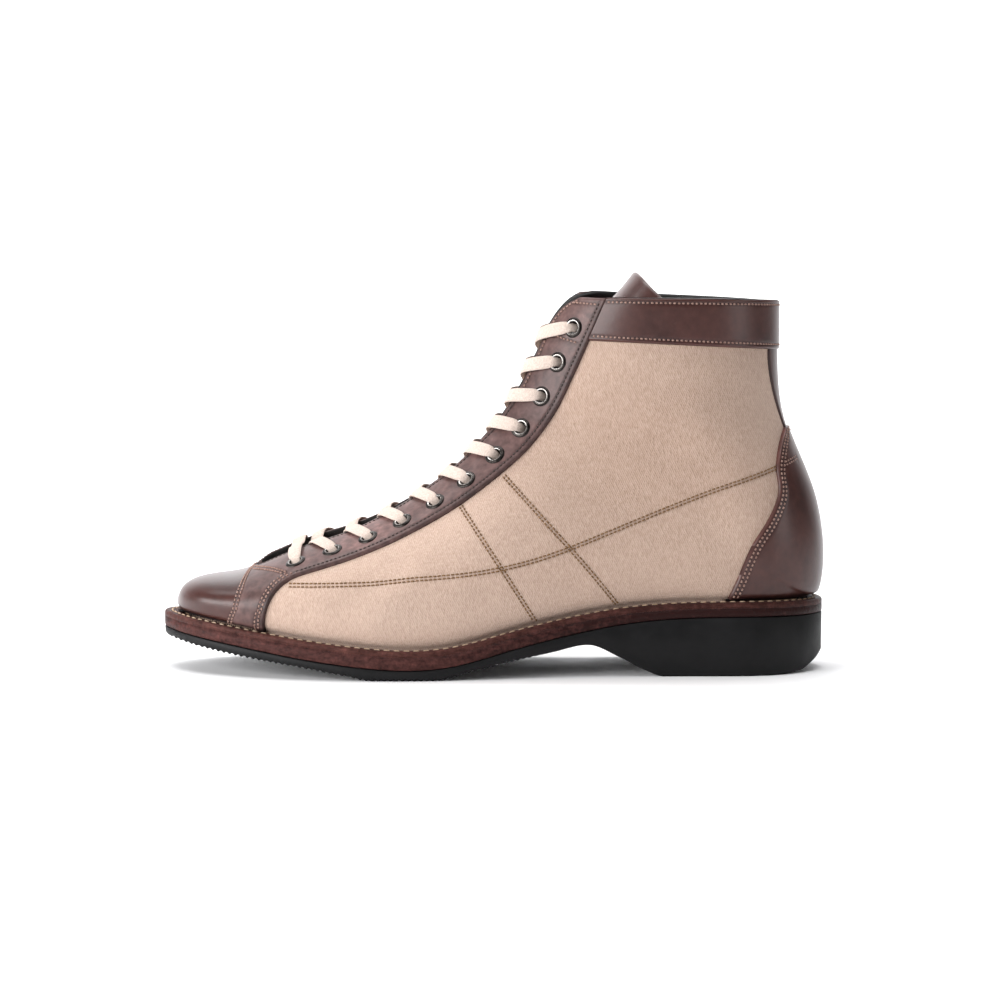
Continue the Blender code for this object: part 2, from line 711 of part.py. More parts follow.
stay_places = np.arange(len(STAY), dtype=float)
stay_share = through(stay_places, stay_rows["cap_share"], steady_slopes)
stay_station = through(stay_places, stay_rows["station"], steady_slopes)
stay_rear_x = through(stay_places, stay_rows["rear_x"], smooth_slopes)
stay_rear_z = through(stay_places, stay_rows["rear_z"], smooth_slopes)


def stay_point(place, share, side):
    """Station and turn of a point of the eyelet stay, along its rows and across from its front edge."""
    down = stay_share(place)
    band = down > 0.0
    front_station = np.where(band, cap_edge(down) + CAP_GAP, stay_station(place))
    cap_turn = down * welt_turn(front_station, side, WELT_CLEAR)
    front_turn = np.where(band, cap_turn, throat_turn(front_station, side))
    front_turn = front_turn + turn_at(front_station, STAY_INSET, side)
    rear_station, rear_turn = locate(stay_rear_x(place), stay_rear_z(place))
    rear_turn = np.minimum(rear_turn, welt_turn(rear_station, side, WELT_CLEAR))
    station = front_station + share * (rear_station - front_station)
    turn = front_turn + share * (rear_turn - front_turn)
    return lifted(station, turn, side), turn


def eyelet_stay(name, side, material):
    """Stay that carries one row of eyelets, with its band down to the welt."""
    place = stations(STAY_SPANS)[:, None]
    share = np.linspace(0.0, 1.0, STAY_WIDE + 1)
    station, turn = stay_point(place, share, side)
    return overlay(name, [(station, turn, side, ("start", "stop", "first", "last"))], OVERLAY_GAP, material)


def heel_counter(material):
    """Counter that wraps the heel, up to a point on the back."""
    rows = np.arange(len(COUNTER), dtype=float)
    high = np.linspace(0.0, rows[-1], COUNTER_HIGH + 1)
    front_station, front_turn = locate(through(rows, counter_rows["x"], smooth_slopes)(high),
                                       through(rows, counter_rows["z"], smooth_slopes)(high))
    back_station = through(rows, counter_rows["back_station"], smooth_slopes)(high)
    share = np.linspace(0.0, 1.0, COUNTER_WIDE + 1)
    sheets = []
    for side in SIDES.values():
        station = front_station[:, None] + share * (back_station - front_station)[:, None]
        turn = front_turn[:, None] + share * (1.0 - front_turn)[:, None]
        turn = np.minimum(turn, welt_turn(station, side, WELT_CLEAR))
        sheets.append((station, turn, side, ("start", "stop", "first")))
    return overlay("heel_counter", sheets, COUNTER_GAP, material)


def band_bottom(turn, side):
    """Station of the collar band's lower edge at a turn."""

    def above(station):
        point = surface(station, turn, side)
        return point[..., 2] - BAND_FRONT_Z + BAND_FALL * (point[..., 0] - BAND_FRONT_X)

    return bisect(above, np.full_like(turn, HEEL_END), np.full_like(turn, COLLAR))


def collar_band(material):
    """Band round the collar, from one stay round the back to the other."""
    share = np.linspace(0.0, 1.0, BAND_WIDE + 1)
    rise = np.linspace(0.0, 1.0, BAND_HIGH + 1)[:, None]
    top_station, top_turn = locate(stay_rear_x(len(STAY) - 1.0), stay_rear_z(len(STAY) - 1.0))
    low_station, low_turn = locate(BAND_FRONT_X, BAND_FRONT_Z)
    sheets = []
    for side in SIDES.values():
        inset = turn_at(top_station, BAND_INSET, side) * 0.5
        front = low_turn + rise * (top_turn - low_turn) + inset
        turn = front + share * (1.0 - front)
        low = band_bottom(turn[0], side)
        station = lifted(low + rise * (COLLAR - low), turn, side)
        sheets.append((station, turn, side, ("start", "stop", "first")))
    return overlay("collar_band", sheets, OVERLAY_GAP, material)


def tongue(material):
    """Tongue under the throat, leaning back into the collar, with a pointed top."""
    along = np.linspace(0.0, 1.0, TONGUE_LONG + 1)[:, None]
    across = np.linspace(-1.0, 1.0, TONGUE_WIDE + 1)
    rows = tongue_rows["station"]
    top = rows[-1] - TONGUE_POINT * np.abs(across) ** TONGUE_BEND
    station = rows[0] + along * (top - rows[0])
    reach = through(rows, tongue_rows["half"], smooth_slopes)(station) * np.abs(across)
    size = section(station)
    down = np.stack([size["bottom_x"] - size["top_x"], np.zeros_like(station),
                     size["bottom_z"] - size["top_z"]], axis=-1)
    down /= np.linalg.norm(down, axis=-1)[..., None]
    faces = {side: surface(station, turn_at(station, reach, side), side) for side in SIDES.values()}
    ridge = np.where((across < 0.0)[None, :, None], faces[-1], faces[1])
    depth = through(rows, tongue_rows["depth"], smooth_slopes)(station)[..., None]
    outer = ridge + (depth - TONGUE_THICK / 2) * down
    inner = ridge + (depth + TONGUE_THICK / 2) * down
    rims = rim_lines(TONGUE_LONG + 1, TONGUE_WIDE + 1, ("start", "stop", "first", "last"))
    return solid("tongue", [(outer, inner, rims)], material)


def eyelet_places(side):
    """Station and turn of each eyelet of one side, evenly spaced along the stay."""
    place = np.linspace(EYELET_FIRST, EYELET_LAST, 200)
    station, turn = stay_point(place, EYELET_SHARE, side)
    path = surface(station, turn, side)
    length = np.concatenate([[0.0], np.cumsum(np.linalg.norm(np.diff(path, axis=0), axis=1))])
    even = np.interp(np.linspace(0.0, length[-1], EYELETS), length, place)
    return stay_point(even, EYELET_SHARE, side)


def turned(name, centre, axis, profile, material):
    """Ring of a closed profile of radius and depth, turned round an axis."""
    axis = Vector(axis).normalized()
    first = axis.orthogonal().normalized()
    second = axis.cross(first)
    points, faces = [], []
    for step in range(EYELET_SIDES):
        angle = 2.0 * math.pi * step / EYELET_SIDES
        spoke = first * math.cos(angle) + second * math.sin(angle)
        points.extend(Vector(centre) + spoke * radius + axis * depth for radius, depth in profile)
    count = len(profile)
    for step in range(EYELET_SIDES):
        here, there = step * count, (step + 1) % EYELET_SIDES * count
        for row in range(count):
            nxt = (row + 1) % count
            faces.append([here + row, there + row, there + nxt, here + nxt])
    return piece(name, points, faces, material)


def eyelet(name, centre, axis, material):
    """Eyelet: a barrel through the stay and the wall under a flange."""
    seat = OVERLAY_GAP + LEATHER + 2.0 * GAP
    profile = ((EYELET_HOLE, -WALL - GAP), (EYELET_BARREL, -WALL - GAP), (EYELET_BARREL, seat),
               (EYELET_FLANGE, seat), (EYELET_HOLE, seat + EYELET_PROUD))
    return turned(name, centre, axis, profile, material)


def cut_holes(targets, centres, axes, side_name, material):
    """Holes for one row of eyelets through the wall and the stay on it."""
    points, faces = [], []
    for centre, axis in zip(centres, axes):
        axis = Vector(axis).normalized()
        first = axis.orthogonal().normalized()
        second = axis.cross(first)
        base = len(points)
        for depth in (-WALL - 2.0, LEATHER + 3.0):
            for step in range(HOLE_SIDES):
                angle = 2.0 * math.pi * step / HOLE_SIDES
                spoke = first * math.cos(angle) + second * math.sin(angle)
                points.append(Vector(centre) + spoke * HOLE_RADIUS + axis * depth)
        ring = range(HOLE_SIDES)
        faces.append([base + step for step in reversed(ring)])
        faces.append([base + HOLE_SIDES + step for step in ring])
        for step in ring:
            after = (step + 1) % HOLE_SIDES
            faces.append([base + step, base + after, base + HOLE_SIDES + after, base + HOLE_SIDES + step])
    cutter = piece("cutter_eyelets_" + side_name, points, faces, material)
    cutter.hide_render = True
    cutter.display_type = "WIRE"
    for target in targets:
        cut = target.modifiers.new("eyelet holes " + side_name, "BOOLEAN")
        cut.operation = "DIFFERENCE"
        cut.solver = "EXACT"
        cut.object = cutter


def strand(name, table, eyelets, level, side, lift, material):
    """Flat lace along the rows of a strand table, between a level of eyelets and the one below."""
    path, faces = [], []
    for _, below, turn_side, to_eyelet, depth in table:
        on = side if turn_side >= 0.0 else -side
        under = max(level - 1, 0)
        station, eyelet_turn = [line[level] + below * (line[under] - line[level]) for line in eyelets[on]]
        edge = throat_turn(station, on)
        turn = 0.0 if turn_side == 0.0 else edge + to_eyelet * (eyelet_turn - edge)
        path.append(skin(station, turn, on, depth + (lift if turn_side == 0.0 else 0.0)))
        faces.append(skin(station, turn, on, 1.0) - skin(station, turn, on, 0.0))
    path, faces = np.array(path), np.array(faces)
    length = np.concatenate([[0.0], np.cumsum(np.linalg.norm(np.diff(path, axis=0), axis=1))])
    at = np.linspace(0.0, length[-1], LACE_LONG + 1)
    line = np.stack([through(length, path[:, axis], smooth_slopes)(at) for axis in range(3)], axis=1)
    up = np.stack([through(length, faces[:, axis], steady_slopes)(at) for axis in range(3)], axis=1)
    run = np.gradient(line, axis=0)
    run /= np.linalg.norm(run, axis=1)[:, None]
    up -= run * np.sum(up * run, axis=1)[:, None]
    up /= np.linalg.norm(up, axis=1)[:, None]
    wide = np.cross(run, up) * LACE_WIDE / 2
    outer = np.stack([line + up * LACE_THICK / 2 - wide, line + up * LACE_THICK / 2 + wide], axis=1)
    inner = np.stack([line - up * LACE_THICK / 2 - wide, line - up * LACE_THICK / 2 + wide], axis=1)
    rims = rim_lines(LACE_LONG + 1, 2, ("start", "stop", "first", "last"))
    return solid(name, [(outer, inner, rims)], material)


def lace(material):
    """Lace: a bar over the first eyelets and a crossing, joined in the middle, over each next pair."""
    eyelets = {side: eyelet_places(side) for side in SIDES.values()}
    strand("lace_bar", LACE_BAR, eyelets, 0, -1, 0.0, material)
    for level in range(1, EYELETS):
        name = "lace_crossing_%02d" % level
        made = strand(name, LACE_STRAND, eyelets, level, -1, LACE_STEP, material)
        other = strand("cutter_" + name, LACE_STRAND, eyelets, level, 1, 0.0, material)
        other.hide_render = True
        other.display_type = "WIRE"
        join = made.modifiers.new("join", "BOOLEAN")
        join.operation = "UNION"
        join.solver = "EXACT"
        join.object = other


def build():
    """Make every piece."""
    for old in list(bpy.data.objects):
        bpy.data.objects.remove(old)
    rubber = plain_material("black_rubber", (0.012, 0.012, 0.013), 0.6)
    sole_leather = plain_material("sole_leather", (0.16, 0.055, 0.035), 0.5)
    brown = plain_material("brown_leather", (0.055, 0.026, 0.018), 0.35)
    canvas = plain_material("canvas", (0.45, 0.38, 0.28), 0.9)
    lining = plain_material("insole_leather", (0.30, 0.20, 0.12), 0.7)
    metal = plain_material("gunmetal", (0.10, 0.095, 0.09), 0.35)
    cotton = plain_material("cotton_lace", (0.70, 0.66, 0.58), 0.9)

    plate("outsole", WELT_REACH, tread_z, rubber_top, tread_rows["x"], rubber)
    plate("midsole", WELT_REACH, midsole_bottom, midsole_top, seat_rows["x"], sole_leather)
    welt_ring(sole_leather)
    plate("insole", -WALL - GAP, lambda x: midsole_top(x) + GAP,
          lambda x: midsole_top(x) + GAP + INSOLE_THICK, seat_rows["x"], lining)
    shell = upper_shell(canvas)
    tongue(brown)
    toe_cap(brown)
    heel_counter(brown)
    collar_band(brown)
    for side_name, side in SIDES.items():
        stay = eyelet_stay("eyelet_stay_" + side_name, side, brown)
        station, turn = eyelet_places(side)
        centres = surface(station, turn, side)
        axes = outward(station, turn, side)
        cut_holes((shell, stay), centres, axes, side_name, metal)
        for number in range(EYELETS):
            eyelet("eyelet_%s_%02d" % (side_name, number + 1), centres[number], axes[number], metal)
    lace(cotton)


build()
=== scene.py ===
"""Looks of a left canvas boot, laced to the toe: canvas, leather, stitches, eyelets, lace and sole.

Lengths are in millimetres until a mesh is made. X runs from the toe (minus) to the heel (plus),
Y from the outer side of the foot (minus) to the inner side (plus) and Z up from the floor. The
tables of the last are those of the part's source, and every piece lies on the same surface.
"""

import math

import bmesh
import bpy
import numpy as np
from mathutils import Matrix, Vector, kdtree


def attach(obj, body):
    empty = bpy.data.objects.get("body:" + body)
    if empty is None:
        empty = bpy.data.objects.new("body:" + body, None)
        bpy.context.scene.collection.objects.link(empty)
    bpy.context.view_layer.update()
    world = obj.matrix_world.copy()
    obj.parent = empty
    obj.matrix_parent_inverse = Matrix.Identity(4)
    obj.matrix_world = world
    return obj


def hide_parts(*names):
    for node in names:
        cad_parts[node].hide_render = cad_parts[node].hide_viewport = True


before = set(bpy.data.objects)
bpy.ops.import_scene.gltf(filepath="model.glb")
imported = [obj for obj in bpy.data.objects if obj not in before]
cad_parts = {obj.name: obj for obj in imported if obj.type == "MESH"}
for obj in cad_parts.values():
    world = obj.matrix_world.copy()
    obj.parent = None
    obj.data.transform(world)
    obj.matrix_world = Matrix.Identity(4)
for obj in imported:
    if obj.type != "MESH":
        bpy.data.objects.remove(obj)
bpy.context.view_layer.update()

MM = 0.001
MERGE = 0.00002  # points of a mesh closer than this become one, in metres
GAP = 0.3  # air between two pieces that lie on each other

# Sizes of the layers
WALL = 2.0  # canvas and lining together
WELT_THICK = 2.7
WELT_REACH = 6.6  # from the foot of the upper to the edge of the sole
INSOLE_THICK = 3.0
TONGUE_THICK = 1.6

# Throat and lacing
THROAT_START = 3.76  # station where the throat begins, behind the toe cap
THROAT_HALF = 9.6  # half width of the throat there
THROAT_SPREAD = 0.02  # what each station adds to the half width
THROAT_ROUND = 7.0  # length of the rounded front end
CORNER_ROUND = 16.0  # radius of the stay's top corner
INNER_RAISE = 0.30  # stations by which the collar is higher in front on the inner side
RAISE_START = 15.0  # station where this begins, and the turns where it is whole and where it ends
RAISE_FRONT = 0.3
RAISE_BACK = 0.9
FLARE = 2.2  # lift of the throat's edge behind the toe cap on the inner side
FLARE_WHOLE = 4.25  # stations where it is whole, begins to fade and ends, and its width in turns
FLARE_FADE = 5.2
FLARE_END = 7.4
FLARE_WIDE = 0.13
EYELETS = 11  # on each side

SIDES = {"outer": -1, "inner": 1}

# Columns of the lines that are given in the side view
LINE_COLUMNS = ("place", "x", "z")

# Under side of the rubber: toe spring, flat tread, arch, heel breast, flat heel, bevel
TREAD = (
    ("toe", -154.0, 15.6),
    ("toe_spring", -121.0, 10.3),
    ("ball_front", -84.0, 5.0),
    ("roll", -66.0, 2.0),
    ("flat_front", -54.0, 0.0),
    ("flat_back", -27.0, 0.0),
    ("arch_front", -8.0, 4.3),
    ("arch", 27.0, 11.8),
    ("breast_top", 42.0, 14.6),
    ("breast", 57.0, 8.6),
    ("breast_foot", 68.0, 2.9),
    ("heel_front", 77.0, 0.0),
    ("heel_back", 128.0, 0.0),
    ("bevel_low", 139.0, 1.3),
    ("bevel", 146.0, 4.7),
    ("bevel_top", 152.0, 9.0),
)

# Top of the welt along the foot
SEAT = (
    ("toe", -154.0, 26.6),
    ("toe_spring", -120.0, 22.4),
    ("ball_front", -84.0, 17.2),
    ("ball", -55.0, 14.0),
    ("ball_back", -33.0, 13.2),
    ("waist_front", -15.0, 15.2),
    ("waist", 5.0, 20.2),
    ("arch", 30.0, 26.0),
    ("heel_front", 58.0, 30.8),
    ("heel", 85.0, 32.9),
    ("heel_back", 152.0, 32.7),
)

# Thickness of the leather midsole
MIDSOLE_COLUMNS = ("place", "x", "thick")
MIDSOLE = (
    ("toe", -154.0, 4.2),
    ("ball", -45.0, 5.4),
    ("waist", 30.0, 4.6),
    ("heel", 85.0, 3.6),
    ("heel_back", 152.0, 3.4),
)

# Outline of the foot of the upper, from the toe along the outer side and back along the inner
FOOT_COLUMNS = ("place", "x", "y")
FOOT = (
    ("toe_tip", -146.0, 5.0),
    ("toe_outer", -142.0, -7.2),
    ("toe_corner_outer", -133.0, -18.9),
    ("toe_side_outer", -118.5, -29.2),
    ("cap_outer", -98.0, -38.0),
    ("ball_front_outer", -70.0, -45.0),
    ("ball_outer", -40.0, -47.2),
    ("ball_back_outer", -10.0, -43.8),
    ("waist_outer", 25.0, -36.5),
    ("heel_front_outer", 60.0, -31.5),
    ("heel_outer", 95.0, -30.5),
    ("heel_side_outer", 120.0, -28.4),
    ("heel_corner_outer", 136.0, -19.0),
    ("heel_end", 144.8, 0.0),
    ("heel_corner_inner", 136.0, 19.0),
    ("heel_side_inner", 120.0, 28.0),
    ("heel_inner", 95.0, 29.6),
    ("heel_front_inner", 60.0, 27.6),
    ("waist_inner", 30.0, 26.2),
    ("ball_back_inner", 0.0, 31.0),
    ("ball_waist_inner", -30.0, 39.5),
    ("ball_inner", -62.0, 43.8),
    ("cap_inner", -92.0, 41.0),
    ("toe_side_inner", -115.5, 34.2),
    ("toe_corner_inner", -133.0, 24.4),
    ("toe_inner", -142.0, 15.7),
)

# Sections of the upper. Each lies in a plane across the boot, from its top point on the ridge
# to its bottom point at the foot or on the back, whose height is given over the welt.
# ridge_y, outer_y and inner_y are the ridge and the widest points, widest is their share of the
# way up and crown is the exponent of the upper quarter.
SECTION_COLUMNS = ("station", "top_x", "top_z", "bottom_x", "rise",
                   "ridge_y", "outer_y", "inner_y", "widest", "crown")
SECTIONS = (
    ("toe_tip", -145.6, 31.4, -145.9, 0.0, 5.0, 5.0, 5.0, 0.40, 2.20),
    ("toe_front", -142.0, 37.2, -142.0, 0.0, 4.6, -8.8, 17.4, 0.40, 2.25),
    ("toe_box", -132.8, 40.8, -132.5, 0.0, 4.0, -22.2, 27.6, 0.40, 2.30),
    ("toe_back", -120.0, 42.6, -119.5, 0.0, 3.0, -32.4, 36.2, 0.40, 2.30),
    ("cap", -107.0, 46.8, -103.0, 0.0, 2.2, -40.8, 42.8, 0.38, 2.20),
    ("vamp", -86.0, 55.8, -80.0, 0.0, 1.6, -47.4, 47.0, 0.36, 2.00),
    ("ball", -62.0, 64.5, -50.0, 0.0, 1.5, -51.0, 47.6, 0.34, 1.90),
    ("waist", -36.0, 79.6, -8.0, 0.0, 1.4, -49.2, 44.4, 0.36, 1.85),
    ("instep", -17.0, 94.8, 35.0, 0.0, 1.0, -45.0, 41.5, 0.38, 1.85),
    ("instep_high", -6.4, 106.4, 82.0, 0.0, 0.6, -39.8, 38.2, 0.36, 2.04),
    ("heel_seat", 0.2, 114.2, 120.0, 0.0, 0.3, -36.8, 36.2, 0.31, 2.22),
    ("heel_end", 4.6, 120.6, 144.8, 0.0, 0.0, -35.8, 35.4, 0.30, 2.34),
    ("heel_bulge", 8.4, 127.2, 150.2, 23.0, 0.0, -35.2, 35.2, 0.32, 2.25),
    ("heel_top", 12.3, 134.4, 144.8, 51.0, 0.0, -34.8, 34.8, 0.36, 2.15),
    ("ankle_low", 16.5, 142.4, 133.4, 79.0, 0.0, -34.5, 34.5, 0.42, 2.05),
    ("ankle", 20.8, 151.2, 129.6, 104.0, 0.0, -34.6, 34.6, 0.46, 2.00),
    ("band", 25.6, 160.6, 129.4, 120.0, 0.0, -35.6, 35.6, 0.48, 2.00),
    ("collar", 30.8, 170.2, 129.4, 135.6, 0.0, -36.6, 36.6, 0.50, 2.00),
    ("over_collar", 36.2, 182.0, 130.0, 148.0, 0.0, -37.4, 37.4, 0.50, 2.00),
)
STATION = {row[0]: number for number, row in enumerate(SECTIONS)}
HEEL_END = STATION["heel_end"]
COLLAR = STATION["collar"]
HALF_WAY = 0.5  # place round the section of its widest point
LOW_SWEEP = math.radians(62.0)  # angle of the lower quarter where the upper stands in the welt
CLOSE_START = 8.0  # stations between which that angle begins to follow the closing heel
CLOSE_WHOLE = 10.0

# Rear edge of the toe cap: station at the welt, what the ridge adds to it, and its bend
CAP_WELT = 2.88
CAP_RIDGE = 0.85
CAP_BEND = 1.6
CAP_GAP = 0.03  # stations between the cap and the band behind it

# Eyelet stay with its band down to the welt, row by row from the welt to the collar.
# The front edge is a share of the way down the toe cap's edge until the throat begins, then the
# throat's edge at a station. The rear edge is given in the side view.
STAY_COLUMNS = ("place", "cap_share", "station", "rear_x", "rear_z")
STAY = (
    ("welt", 1.00, THROAT_START, -102.4, 20.4),
    ("band", 0.72, THROAT_START, -101.8, 28.5),
    ("bend", 0.45, THROAT_START, -98.3, 36.9),
    ("corner", 0.18, THROAT_START, -92.8, 42.4),
    ("throat", 0.00, THROAT_START, -87.0, 45.2),
    ("first_eyelet", 0.00, 4.45, -79.0, 47.7),
    ("vamp", 0.00, 5.40, -62.0, 53.2),
    ("ball", 0.00, 6.50, -40.0, 62.6),
    ("waist", 0.00, 7.60, -15.3, 76.6),
    ("instep", 0.00, 9.00, 4.3, 91.4),
    ("instep_high", 0.00, 10.70, 17.0, 103.2),
    ("shin", 0.00, 12.50, 28.4, 119.0),
    ("ankle", 0.00, 14.50, 37.6, 138.0),
    ("collar", 0.00, COLLAR, 51.5, 170.0),
)
STAY_INSET = 0.4  # from the throat's edge
EYELET_SHARE = 0.65  # place of the eyelets across the stay
EYELET_FIRST = 4.80  # and of the first and last along its rows
EYELET_LAST = 12.55

# Front edge of the heel counter in the side view, from the welt to its top on the back
COUNTER = (
    ("welt", 105.5, 34.8),
    ("lower", 110.5, 46.0),
    ("bulge", 115.5, 58.0),
    ("shoulder", 120.8, 66.5),
    ("flare", 124.4, 72.5),
    ("corner", 127.3, 79.0),
    ("hollow", 128.2, 86.0),
    ("neck", 127.3, 94.0),
    ("top_side", 129.6, 105.0),
    ("top", 132.4, 110.8),
)

# Collar band: lower edge in the side view, falling to the back
BAND_FRONT_X = 43.0
BAND_FRONT_Z = 150.6
BAND_FALL = 0.048

# Tongue: how deep it lies under the ridge, and half its width, at stations
TONGUE_COLUMNS = ("place", "station", "depth", "half")
TONGUE = (
    ("root", 3.40, 4.2, 11.0),
    ("throat", 4.40, 5.8, 19.0),
    ("ball", 6.00, 6.4, 23.0),
    ("instep", 9.00, 8.2, 19.5),
    ("shin", 12.00, 9.6, 19.5),
    ("ankle", 14.50, 12.0, 21.0),
    ("band", 16.00, 17.0, 26.0),
    ("collar", 17.00, 24.0, 30.0),
    ("tip", 18.00, 28.6, 31.0),
)
TONGUE_POINT = 1.02  # stations by which the tongue's corners end below its tip
TONGUE_BEND = 2.2  # and how its top edge bends down to them


# Surface of the last

def columns(names, rows):
    """The number columns of a table, by name."""
    numbers = np.array([row[1:] for row in rows], dtype=float)
    return {name: numbers[:, place] for place, name in enumerate(names[1:])}


def unit(vectors):
    """Vectors of length 1 in the same directions."""
    return vectors / np.linalg.norm(vectors, axis=-1)[..., None]


def lengths(points, axis=0):
    """Lengths along lines of points, from 0 at the start of each line."""
    steps = np.linalg.norm(np.diff(points, axis=axis), axis=-1)
    start = np.zeros_like(np.take(steps, [0], axis=axis))
    return np.concatenate([start, np.cumsum(steps, axis=axis)], axis=axis)


def smooth_slopes(x, y):
    """Slopes at the rows for a natural cubic spline."""
    count = len(x)
    step = np.diff(x)
    secant = np.diff(y) / step
    system = np.zeros((count, count))
    right = np.zeros(count)
    system[0, :2] = 2.0, 1.0
    right[0] = 3.0 * secant[0]
    system[-1, -2:] = 1.0, 2.0
    right[-1] = 3.0 * secant[-1]
    for row in range(1, count - 1):
        before, after = step[row - 1], step[row]
        system[row, row - 1:row + 2] = after, 2.0 * (before + after), before
        right[row] = 3.0 * (after * secant[row - 1] + before * secant[row])
    return np.linalg.solve(system, right)


def steady_slopes(x, y):
    """Slopes at the rows for a spline that keeps flats flat and adds no swing."""
    step = np.diff(x)
    secant = np.diff(y) / step
    slope = np.zeros(len(x))
    slope[0], slope[-1] = secant[0], secant[-1]
    for row in range(1, len(x) - 1):
        before, after = secant[row - 1], secant[row]
        if before * after > 0.0:
            slope[row] = 2.0 * before * after / (before + after)
    return slope


def through(x, y, slopes):
    """Function of x that runs through the rows with the slopes given."""
    slope = slopes(x, y)

    def value(at):
        at = np.clip(np.asarray(at, dtype=float), x[0], x[-1])
        row = np.clip(np.searchsorted(x, at, side="right") - 1, 0, len(x) - 2)
        step = x[row + 1] - x[row]
        t = (at - x[row]) / step
        rest = 1.0 - t
        return (y[row] * (1.0 + 2.0 * t) * rest ** 2 + y[row + 1] * (3.0 - 2.0 * t) * t ** 2
                + step * (slope[row] * t * rest ** 2 - slope[row + 1] * rest * t ** 2))

    return value


tread_rows = columns(LINE_COLUMNS, TREAD)
seat_rows = columns(LINE_COLUMNS, SEAT)
midsole_rows = columns(MIDSOLE_COLUMNS, MIDSOLE)
foot_rows = columns(FOOT_COLUMNS, FOOT)
section_rows = columns(SECTION_COLUMNS, SECTIONS)
stay_rows = columns(STAY_COLUMNS, STAY)
counter_rows = columns(LINE_COLUMNS, COUNTER)
tongue_rows = columns(TONGUE_COLUMNS, TONGUE)

tread_z = through(tread_rows["x"], tread_rows["z"], steady_slopes)
seat_z = through(seat_rows["x"], seat_rows["z"], smooth_slopes)
midsole_thick = through(midsole_rows["x"], midsole_rows["thick"], steady_slopes)


def midsole_top(x):
    """Height of the leather midsole's upper face."""
    return seat_z(x) - WELT_THICK - GAP


def midsole_bottom(x):
    """Height of the leather midsole's lower face."""
    return midsole_top(x) - midsole_thick(x)


def rubber_top(x):
    """Height of the rubber's upper face."""
    return midsole_bottom(x) - GAP


def foot_outline(reach, count=360):
    """Closed outline round the foot of the upper, set outward by a distance."""
    size = len(foot_rows["x"])
    x = np.tile(foot_rows["x"], 3)
    y = np.tile(foot_rows["y"], 3)
    length = np.concatenate([[0.0], np.cumsum(np.hypot(np.diff(x), np.diff(y)))])
    at = np.linspace(length[size], length[2 * size], count, endpoint=False)
    line = np.stack([through(length, x, smooth_slopes)(at), through(length, y, smooth_slopes)(at)], axis=1)
    run = np.roll(line, -1, axis=0) - np.roll(line, 1, axis=0)
    away = np.stack([run[:, 1], -run[:, 0]], axis=1) / np.linalg.norm(run, axis=1)[:, None]
    return line + reach * away


def outline_edges(reach):
    """Outer and inner edge of an outline, each as x and y with x rising."""
    line = foot_outline(reach, 2400)
    line = np.roll(line, -int(np.argmin(line[:, 0])), axis=0)
    heel = int(np.argmax(line[:, 0]))
    outer = line[:heel + 1]
    inner = np.concatenate([line[heel:], line[:1]])[::-1]
    return {-1: outer, 1: inner}


foot_edges = outline_edges(0.0)
sole_outline = foot_outline(WELT_REACH)
sole_middle = np.append((sole_outline.min(axis=0) + sole_outline.max(axis=0)) / 2.0, 0.0)

STEADY_COLUMNS = ("rise",)
station_numbers = np.arange(len(SECTIONS), dtype=float)
section_curve = {}
for column, numbers in section_rows.items():
    slopes = steady_slopes if column in STEADY_COLUMNS else smooth_slopes
    section_curve[column] = through(station_numbers, numbers, slopes)


def section(station):
    """Every size of the section at a station, between the rows of the table."""
    sizes = {name: curve(station) for name, curve in section_curve.items()}
    sizes["bottom_z"] = seat_z(sizes["bottom_x"]) + GAP + sizes["rise"]
    return sizes


def smooth_step(share):
    """Soft step from 0 to 1."""
    share = np.clip(share, 0.0, 1.0)
    return share ** 2 * (3.0 - 2.0 * share)


def foot_y(x, station, side):
    """Place of the foot of the upper, or the middle of the back above it."""
    edge = foot_edges[side]
    return np.where(station >= HEEL_END, 0.0, np.interp(x, edge[:, 0], edge[:, 1]))


def lower_sweep(size, station):
    """Angle of a section's lower quarter, which opens as the foot closes round the heel."""
    foot = foot_y(size["bottom_x"], station, -1)
    closing = np.arccos(np.clip(foot / np.minimum(size["outer_y"], -1.0), 0.0, 1.0))
    share = smooth_step((station - CLOSE_START) / (CLOSE_WHOLE - CLOSE_START))
    return LOW_SWEEP + share * (closing - LOW_SWEEP)


def flare(station, turn, side):
    """Lift of the throat's edge behind the toe cap, on the inner side only."""
    if side < 0:
        return 0.0
    rise = smooth_step((station - THROAT_START) / (FLARE_WHOLE - THROAT_START))
    fall = smooth_step((station - FLARE_FADE) / (FLARE_END - FLARE_FADE))
    edge = np.maximum(throat_turn(station, side), 0.01)
    across = np.exp(-((turn - edge) / FLARE_WIDE) ** 2) * np.clip(turn / edge, 0.0, 1.0)
    return FLARE * rise * (1.0 - fall) * across


